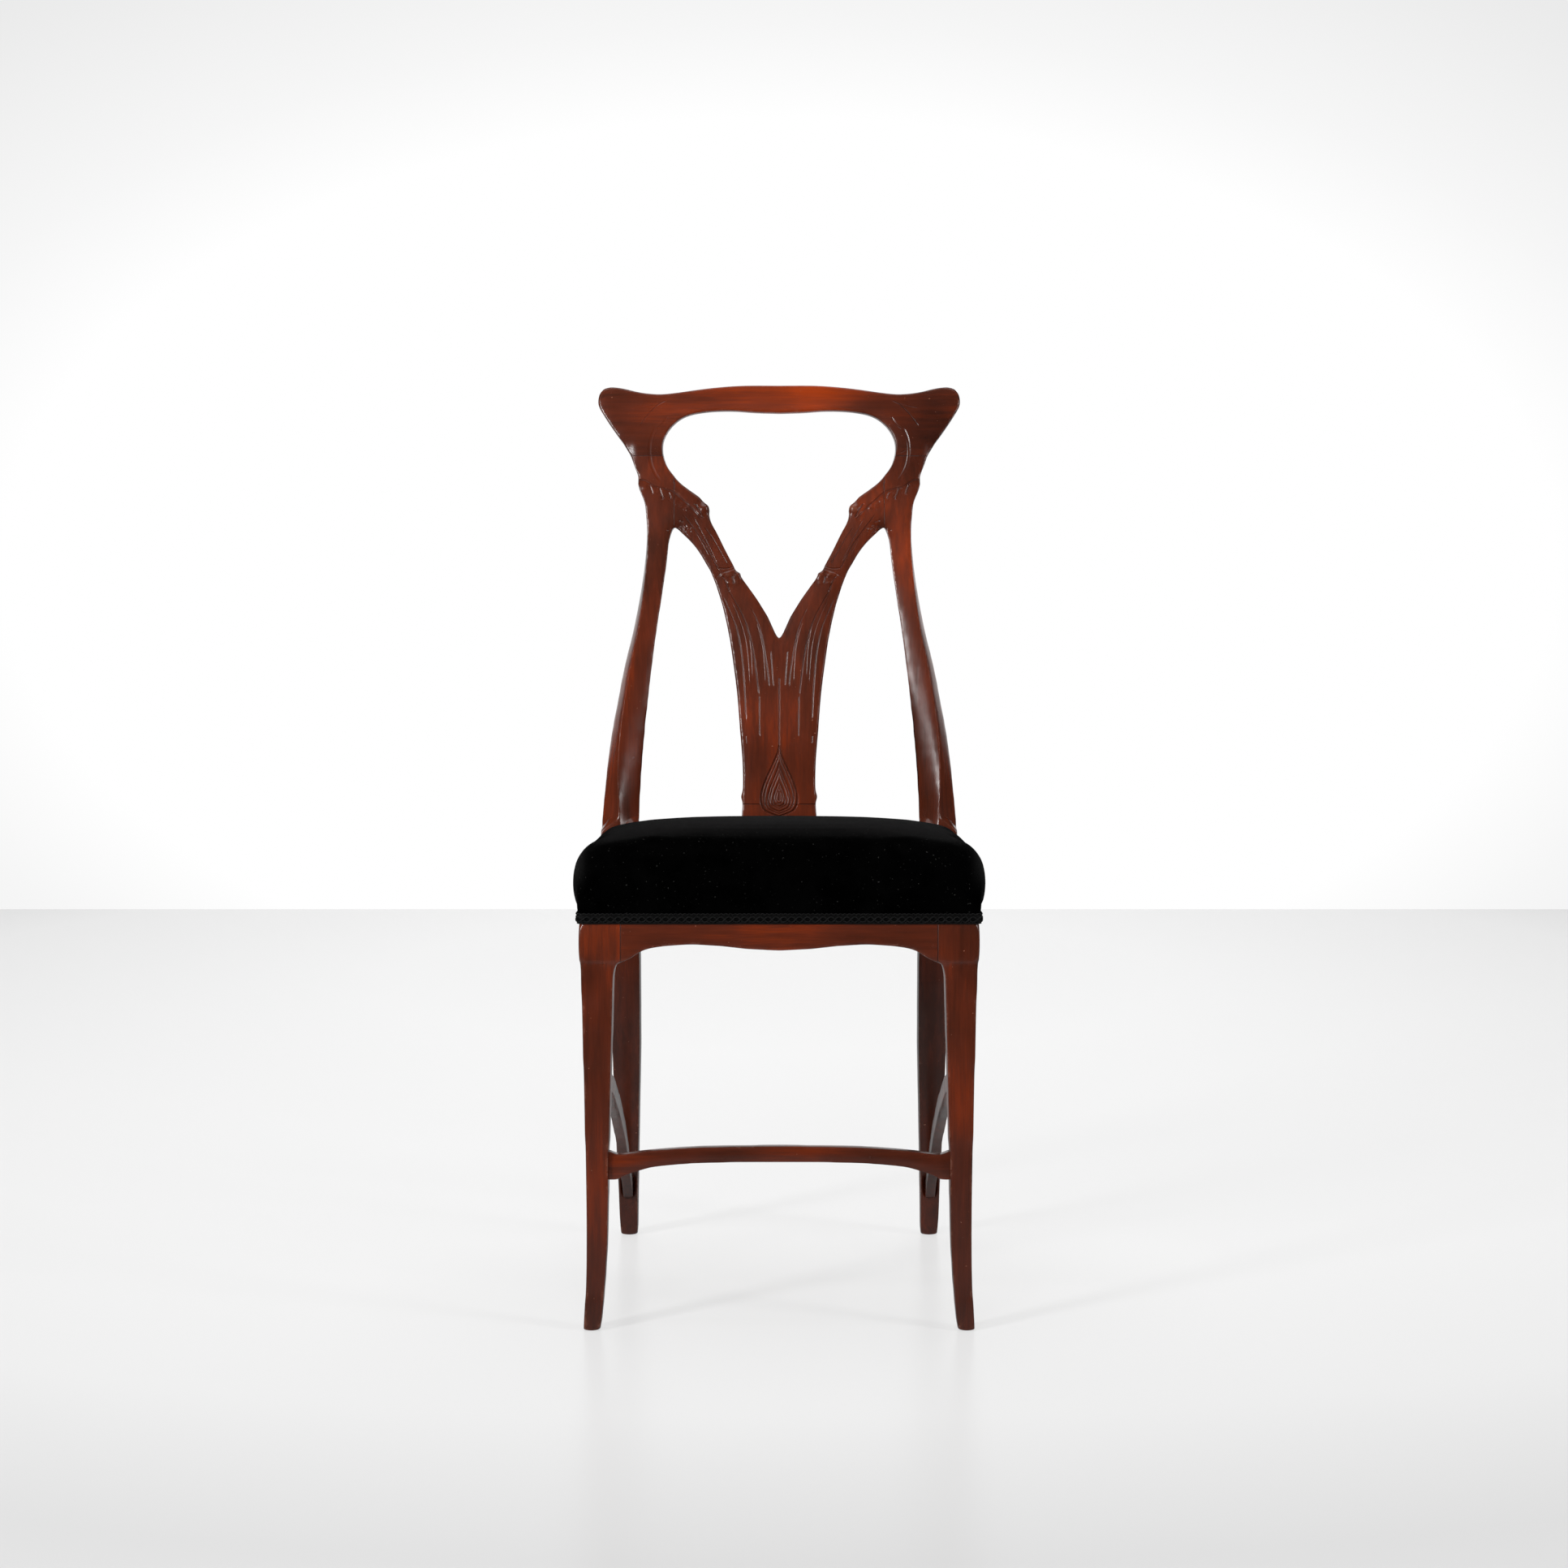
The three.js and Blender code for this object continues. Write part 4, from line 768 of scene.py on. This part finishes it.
def finish_nodes(material, starts):
    for name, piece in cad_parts.items():
        if name.startswith(starts):
            piece.data.materials.clear()
            piece.data.materials.append(material)


finish_nodes(beech(), ("corner_block", "crest_dowel", "arm_dowel"))
finish_nodes(screw_steel(), ("block_screw",))

# ---- The webbing: six straps of jute, woven over and under each other and tacked to the rails.
# The solids of the straps already rise and dip, and each strap here takes its waves from its own solid.


def cloth_material(name, dark, light, pitch, roughness, bump_height):
    """A plain weave: threads along both sides, each a little uneven."""
    material, tree = new_material(name)
    spot = node(tree, "TexCoord").outputs["Object"]
    wave_scale = 1.0 / (pitch * 20.0) * 2.0 * math.pi
    waves = [node(tree, "TexWave", {"Vector": spot, "Scale": wave_scale, "Distortion": 0.6, "Detail": 2.0},
                  bands_direction=direction).outputs["Fac"] for direction in ("X", "Y")]
    weave = node(tree, "Math", {0: waves[0], 1: waves[1]}, operation="MULTIPLY").outputs[0]
    slub = noise(tree, spot, 140.0, 4.0)
    mixed = node(tree, "Math", {0: weave, 1: 0.5, 2: slub}, operation="MULTIPLY_ADD").outputs[0]
    colour = ramp(tree, mixed, [(0.35, dark), (0.95, light)])
    bump = node(tree, "Bump", {"Height": mixed, "Strength": 0.6, "Distance": bump_height}).outputs["Normal"]
    finish_material(tree, node(tree, "BsdfPrincipled", {
        "Base Color": colour, "Roughness": roughness, "Normal": bump}).outputs["BSDF"])
    return material


jute = cloth_material(
    "jute", dark=(0.17, 0.11, 0.055), light=(0.44, 0.32, 0.18), pitch=1.6 * mm, roughness=0.92, bump_height=0.5 * mm)
strap_steps = (96, 10)  # along a strap and across it


def thicken(piece, thickness):
    """Gives cloth its thickness, under its own surface."""
    thick = piece.modifiers.new("thickness", "SOLIDIFY")
    thick.thickness = thickness
    thick.offset = -1.0


def strap(source):
    """A strap in the place of its solid: a fine grid with the solid's waves, given its thickness."""
    lowest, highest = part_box(source)
    along = 0 if source.startswith("webbing_cross") else 1
    size = highest - lowest
    middle = (lowest + highest) / 2
    solid = bmesh.new()
    solid.from_mesh(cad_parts[source].data)
    # the last height kept of each place is its highest
    tops = dict(sorted({(round(vert.co[along], 5), round(vert.co.z, 6)) for vert in solid.verts}))
    solid.free()
    web = bmesh.new()
    steps = strap_steps if along == 0 else strap_steps[::-1]
    bmesh.ops.create_grid(web, x_segments=steps[0], y_segments=steps[1], size=0.5)
    for vert in web.verts:
        vert.co = (middle.x + vert.co.x * size.x, middle.y + vert.co.y * size.y, 0.0)
        vert.co.z = np.interp(vert.co[along], list(tops), list(tops.values()))
    bmesh.ops.smooth_vert(web, verts=web.verts, factor=0.5, use_axis_z=True)
    mesh = finished_mesh(web, source.replace("webbing", "strap"))
    piece = placed(mesh.name, mesh)
    thicken(piece, 1.2 * mm)
    mesh.polygons.foreach_set("use_smooth", [True] * len(mesh.polygons))
    mesh.materials.append(jute)
    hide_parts(source)
    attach(piece, "root")
    return piece


straps = [strap(name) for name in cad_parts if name.startswith("webbing")]

# ---- The hessian: a coarse cloth stretched over the webbing, under the stuffing.
# It is notched at the back for the posts, like the cover.

hessian_low, hessian_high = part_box("seat_hessian")
hessian_size = hessian_high - hessian_low
web = bmesh.new()
bmesh.ops.create_grid(web, x_segments=60, y_segments=60, size=0.5)
for vert in web.verts:
    vert.co.x *= hessian_size.x
    vert.co.y *= hessian_size.y
    vert.co.y += (hessian_low.y + hessian_high.y) / 2
    vert.co.z = hessian_high.z
notch = Vector((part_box("gimp_back")[1][0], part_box("gimp_braid")[1][1], 0.0))
corner_faces = [face for face in web.faces
                if abs(face.calc_center_median().x) > notch.x and face.calc_center_median().y > notch.y]
bmesh.ops.delete(web, geom=corner_faces, context="FACES")
hessian_cloth = placed("hessian_cloth", finished_mesh(web, "hessian_cloth"))
thicken(hessian_cloth, hessian_size.z)
hessian_cloth.data.materials.append(cloth_material(
    "hessian", dark=(0.10, 0.065, 0.035), light=(0.33, 0.24, 0.13), pitch=1.1 * mm, roughness=0.95,
    bump_height=0.4 * mm))
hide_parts("seat_hessian")
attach(hessian_cloth, "root")

# ---- The seat: black velvet drawn tight over horsehair, crowned, and tacked to the faces of the rails.
# It is blown up as cloth from a slightly smaller form; the notches for the posts and the shoe are cut after.

seat_half = leg_box[1][0]
seat_front = leg_box[0][1]
seat_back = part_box("back_rail")[1][1]
cover_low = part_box("seat_cover")[0]
rail_corner = 6.0 * mm


def past_frame(spots, corner):
    """How far places lie outside the seat frame's outline, and the way out from it."""
    middle = np.array([0.0, (seat_front + seat_back) / 2])
    half = np.array([seat_half, (seat_back - seat_front) / 2]) - corner
    rel = spots[:, :2] - middle
    over = np.abs(rel) - half
    outside = np.maximum(over, 0.0)
    length = np.hypot(*outside.T)
    flat = over[:, 0] > over[:, 1]
    way = np.where((length > 1e-9)[:, None], outside / np.maximum(length, 1e-9)[:, None],
                   np.stack([flat, ~flat], axis=1).astype(float))
    past = np.where(length > 1e-9, length, over.max(axis=1)) - corner
    return past, way * np.sign(rel)


def velvet():
    material, tree = new_material("velvet")
    spot = node(tree, "TexCoord").outputs["Object"]
    pile = noise(tree, spot, 1400.0, 2.0)
    brushed_at = node(tree, "Mapping", {"Vector": spot, "Scale": (1.0, 0.5, 1.0)}).outputs["Vector"]
    brushed = noise(tree, brushed_at, 32.0, 5.0, 0.6)
    tone = node(tree, "Math", {0: pile, 1: 0.35, 2: brushed}, operation="MULTIPLY_ADD").outputs[0]
    nap = ramp(tree, tone, [(0.45, grey(0.00005)), (0.95, grey(0.0009))])
    lint_noise = noise(tree, spot, 420.0, 1.0)
    lint = node(tree, "MapRange", {"Value": lint_noise, "From Min": 0.72, "From Max": 0.84}).outputs[0]
    # painted sheen: lighter pile on the upper front corners
    lit = blend(tree, painted(tree, "painted_rim_sheen"), nap, (0.010, 0.010, 0.010, 1.0))
    colour = blend(tree, lint, lit, (0.03, 0.03, 0.028, 1.0))
    bump = node(tree, "Bump", {"Height": pile, "Strength": 0.35, "Distance": 0.0004}).outputs["Normal"]
    finish_material(tree, node(tree, "BsdfPrincipled", {
        "Base Color": colour, "Roughness": 0.95, "Normal": bump, "Specular IOR Level": 0.0,
        "Sheen Weight": 0.018, "Sheen Roughness": 0.38}).outputs["BSDF"])
    return material


def blown(mesh, held, frames, reach):
    """Where the cloth is after some frames of pressure from inside; held is 1 where it can't move."""
    start = places(mesh)
    cover = placed("cover", mesh)
    pins = cover.vertex_groups.new(name="tacked")
    for index in np.flatnonzero(held > 0.5):
        pins.add([int(index)], 1.0, "REPLACE")
    cloth = cover.modifiers.new("cloth", "CLOTH")
    cloth.settings.use_pressure = True
    cloth.settings.uniform_pressure_force = 1.0
    cloth.settings.shrink_min = -0.02
    cloth.settings.vertex_group_mass = pins.name
    cloth.settings.effector_weights.gravity = 0.0
    for number in range(1, frames + 1):
        scene.frame_set(number)
    blown_mesh = as_it_stands(cover)
    moved = places(blown_mesh) - start
    scene.frame_set(1)
    bpy.data.objects.remove(cover)
    bpy.data.meshes.remove(blown_mesh)
    length = np.maximum(np.linalg.norm(moved, axis=1), 1e-9)
    return start + moved * np.minimum(1.0, reach / length)[:, None]


# the form is the cover's solid without its notches
form = bmesh.new()
form.from_mesh(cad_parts["seat_cover"].data)
bmesh.ops.remove_doubles(form, verts=form.verts, dist=same_place)
hull = bmesh.ops.convex_hull(form, input=form.verts)
inside = {item for item in hull["geom_interior"] + hull["geom_unused"] if isinstance(item, bmesh.types.BMVert)}
bmesh.ops.delete(form, geom=list(inside), context="VERTS")
cushion = grown(form, 6.0 * mm)

swell = 2.2 * mm
tacked_foot = 12.0 * mm
held = (places(cushion)[:, 2] < cover_low.z + tacked_foot).astype(float)
free_swell = (swell * (1.0 - held))[:, None]
spots = places(cushion) - places(cushion, "normal") * free_swell
move_to(cushion, spots)
spots = blown(cushion, held, frames=20, reach=1.5 * swell)

# the foot of the cover is drawn in to the rails, where the braid covers its tacks: at these heights above its
# lower edge it stands at least and at most so far out of the seat frame
foot_heights = np.array([0.0, 8.3, 11.5, 14.0, 22.5, 31.0, 38.0]) * mm + cover_low.z
farthest = np.array([-0.2, -0.2, 1.2, 2.6, 5.6, 7.4, 8.5]) * mm
nearest = np.array([-0.2, -0.2, 0.8, 1.4, 1.8, 1.8, 1.8]) * mm
past, way = past_frame(spots, rail_corner)
skin_depth = 6.0 * mm  # what lies further in is the form's underside, and stays
at_foot = (spots[:, 2] < foot_heights[-1]) & (past > -skin_depth)
too_far = np.maximum(past - np.interp(spots[:, 2], foot_heights, farthest), 0.0) * at_foot
too_near = np.minimum(past - np.interp(spots[:, 2], foot_heights, nearest), 0.0) * at_foot
spots[:, :2] -= way * (too_far + too_near)[:, None]
move_to(cushion, spots)
# painted sheen: the pile is coloured lighter along the upper front corners, where light catches it
painted_rim_sheen = ease(np.abs(spots[:, 0]), 0.186, 0.206) * ease(spots[:, 2], 0.432, 0.462) * ease(-spots[:, 1], -0.06, 0.12)
paint(cushion, "painted_rim_sheen", painted_rim_sheen)


def slit(cloth, place, direction, clear_inner=False):
    """Cuts a cloth's mesh along a plane, and may leave out what lies behind it."""
    everything = [*cloth.verts, *cloth.edges, *cloth.faces]
    bmesh.ops.bisect_plane(
        cloth, geom=everything, dist=on_the_plane, plane_co=place, plane_no=direction, clear_inner=clear_inner)


# the cover is open underneath, and notched for the posts and the shoe
cover = bmesh.new()
cover.from_mesh(cushion)
slit(cover, (0, 0, cover_low.z + 0.3 * mm), (0, 0, 1), clear_inner=True)
shoe_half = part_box("splat_shoe")[1][0]
for x in (notch.x, -notch.x, shoe_half, -shoe_half):
    slit(cover, (x, 0, 0), (1, 0, 0))
slit(cover, (0, notch.y, 0), (0, 1, 0))


def in_notch(place):
    at_post = abs(place.x) > notch.x
    at_shoe = abs(place.x) < shoe_half and place.z > hessian_high.z
    return place.y > notch.y and (at_post or at_shoe)


bmesh.ops.delete(cover, geom=[f for f in cover.faces if in_notch(f.calc_center_median())], context="FACES")
cover.to_mesh(cushion)
cover.free()
cushion.name = "velvet_cover"
velvet_cover = placed("velvet_cover", cushion)
finer_cover = velvet_cover.modifiers.new("finer", "SUBSURF")
finer_cover.levels = finer_cover.render_levels = 1
thicken(velvet_cover, 1.0 * mm)
cushion.polygons.foreach_set("use_smooth", [True] * len(cushion.polygons))
cushion.materials.clear()
cushion.materials.append(velvet())
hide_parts("seat_cover", "seat_pad")
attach(velvet_cover, "root")

# ---- The gimp: a black braid of twisted cords glued over the tacks, round the front and along the back.
# Its tape stands just off the velvet and leans out a little at the top, as the cover does.


def braid_material(name, dark, light):
    material, tree = new_material(name)
    spot = node(tree, "TexCoord").outputs["Object"]
    thread = noise(tree, spot, 900.0, 3.0)
    colour = ramp(tree, thread, [(0.35, dark), (0.7, light)])
    bump = node(tree, "Bump", {"Height": thread, "Strength": 0.7, "Distance": 0.0004}).outputs["Normal"]
    finish_material(tree, node(tree, "BsdfPrincipled", {
        "Base Color": colour, "Roughness": 0.65, "Normal": bump, "Specular IOR Level": 0.12}).outputs["BSDF"])
    return material


gimp_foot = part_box("gimp_braid")[0][2]
gimp_height = 10.8 * mm
gimp_lean = 0.9 * mm
gimp_cord = braid_material("gimp_cord", grey(0.0030), grey(0.0125))
# the tape is coloured darker than the cords: partly black thread, partly painted shade in the gaps between the cords
gimp_tape_and_shade = braid_material("gimp_tape_and_shade", grey(0.0004), grey(0.0012))


def round_front(length, out):
    """A place on the way round the front of the seat, by its distance from the left post."""
    r = rail_corner
    x = seat_half
    side = notch.y - (seat_front + r)
    arc = math.pi * r / 2
    front_run = 2 * (x - r)
    if length <= side:
        return Vector((-x - out, notch.y - length, 0.0))
    length -= side
    if length <= arc:
        turn = length / r
        return Vector((-x + r - (r + out) * math.cos(turn), seat_front + r - (r + out) * math.sin(turn), 0.0))
    length -= arc
    if length <= front_run:
        return Vector((-x + r + length, seat_front - out, 0.0))
    length -= front_run
    if length <= arc:
        turn = length / r
        return Vector((x - r + (r + out) * math.sin(turn), seat_front + r - (r + out) * math.cos(turn), 0.0))
    return Vector((x + out, seat_front + r + length - arc, 0.0))


def along_back(length, out):
    return Vector((notch.x - length, seat_back + out, 0.0))


front_length = 2 * (notch.y - seat_front - rail_corner) + math.pi * rail_corner + 2 * (seat_half - rail_corner)
back_length = 2 * notch.x


def cord(way_round, whole_length, radius, height_at, out_at, step):
    """One cord of the braid as a thin tube; it stands at a share of the braid's height and some way out."""
    curve = bpy.data.curves.new("cord", "CURVE")
    curve.dimensions = "3D"
    curve.bevel_depth = radius
    curve.bevel_resolution = 0
    curve.use_fill_caps = True
    line = curve.splines.new("POLY")
    count = int(whole_length / step)
    line.points.add(count - 1)
    for i in range(count):
        length = whole_length * i / (count - 1)
        up = height_at(length)
        spot = way_round(length, out_at(length) + gimp_lean * up)
        line.points[i].co = (spot.x, spot.y, gimp_foot + up * gimp_height, 1.0)
    holder = placed("cord", curve)
    tube = as_it_stands(holder)
    bpy.data.objects.remove(holder)
    bpy.data.curves.remove(curve)
    return tube


picot = 4.5 * mm
scroll = 15.5 * mm
tape_back = 0.15 * mm
tape_face = 0.9 * mm


def scrolling(side):
    """The height and the way out of one of the two cords that cross in waves."""
    def turn(s):
        return 2 * math.pi * s / scroll
    return (lambda s: 0.43 + side * 0.24 * math.sin(turn(s)),
            lambda s: tape_face + 0.5 * mm + side * 0.35 * mm * math.cos(turn(s)))


def gimp(name, way_round, whole_length, source):
    """A flat tape with an edge cord below, picots above and two cords that cross in waves."""
    made = bmesh.new()
    # each cord: its radius, its height, its way out, and its steps along the braid
    cords = [
        (0.50 * mm, lambda s: 0.05, lambda s: tape_face, 2.0 * mm),
        (0.58 * mm, lambda s: 0.83 + 0.13 * abs(math.sin(math.pi * s / picot)), lambda s: tape_face + 0.2 * mm,
         0.56 * mm),
        (0.75 * mm, *scrolling(1.0), 0.8 * mm),
        (0.75 * mm, *scrolling(-1.0), 0.8 * mm),
        (0.55 * mm, lambda s: 0.20 + 0.05 * math.sin(2 * math.pi * s / picot), lambda s: tape_face, 0.7 * mm),
    ]
    for radius, height_at, out_at, step in cords:
        tube = cord(way_round, whole_length, radius, height_at, out_at, step)
        made.from_mesh(tube)
        bpy.data.meshes.remove(tube)
    cord_faces = len(made.faces)
    count = int(whole_length / (2.0 * mm))
    # the tape: four corners at each step, with walls from each step to the next
    corners = ((tape_back, 0.02), (tape_face, 0.02), (tape_face + gimp_lean, 0.97), (tape_back + gimp_lean, 0.97))
    tape = [[made.verts.new(way_round(whole_length * i / count, out) + Vector((0, 0, gimp_foot + up * gimp_height)))
             for out, up in corners] for i in range(count + 1)]
    rims = [[made.edges.new((ring[k], ring[(k + 1) % 4])) for k in range(4)] for ring in tape]
    for near, far in zip(rims, rims[1:]):
        bmesh.ops.bridge_loops(made, edges=near + far)
    for ring in (tape[0], tape[-1]):
        made.faces.new(ring)
    bmesh.ops.recalc_face_normals(made, faces=made.faces)
    mesh = finished_mesh(made, name)
    piece = placed(name, mesh)
    mesh.polygons.foreach_set("use_smooth", [True] * len(mesh.polygons))
    mesh.materials.append(gimp_cord)
    mesh.materials.append(gimp_tape_and_shade)
    mesh.polygons.foreach_set("material_index", [int(face >= cord_faces) for face in range(len(mesh.polygons))])
    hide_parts(source)
    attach(piece, "root")


gimp("gimp_front_and_sides", round_front, front_length, "gimp_braid")
gimp("gimp_along_back", along_back, back_length, "gimp_back")
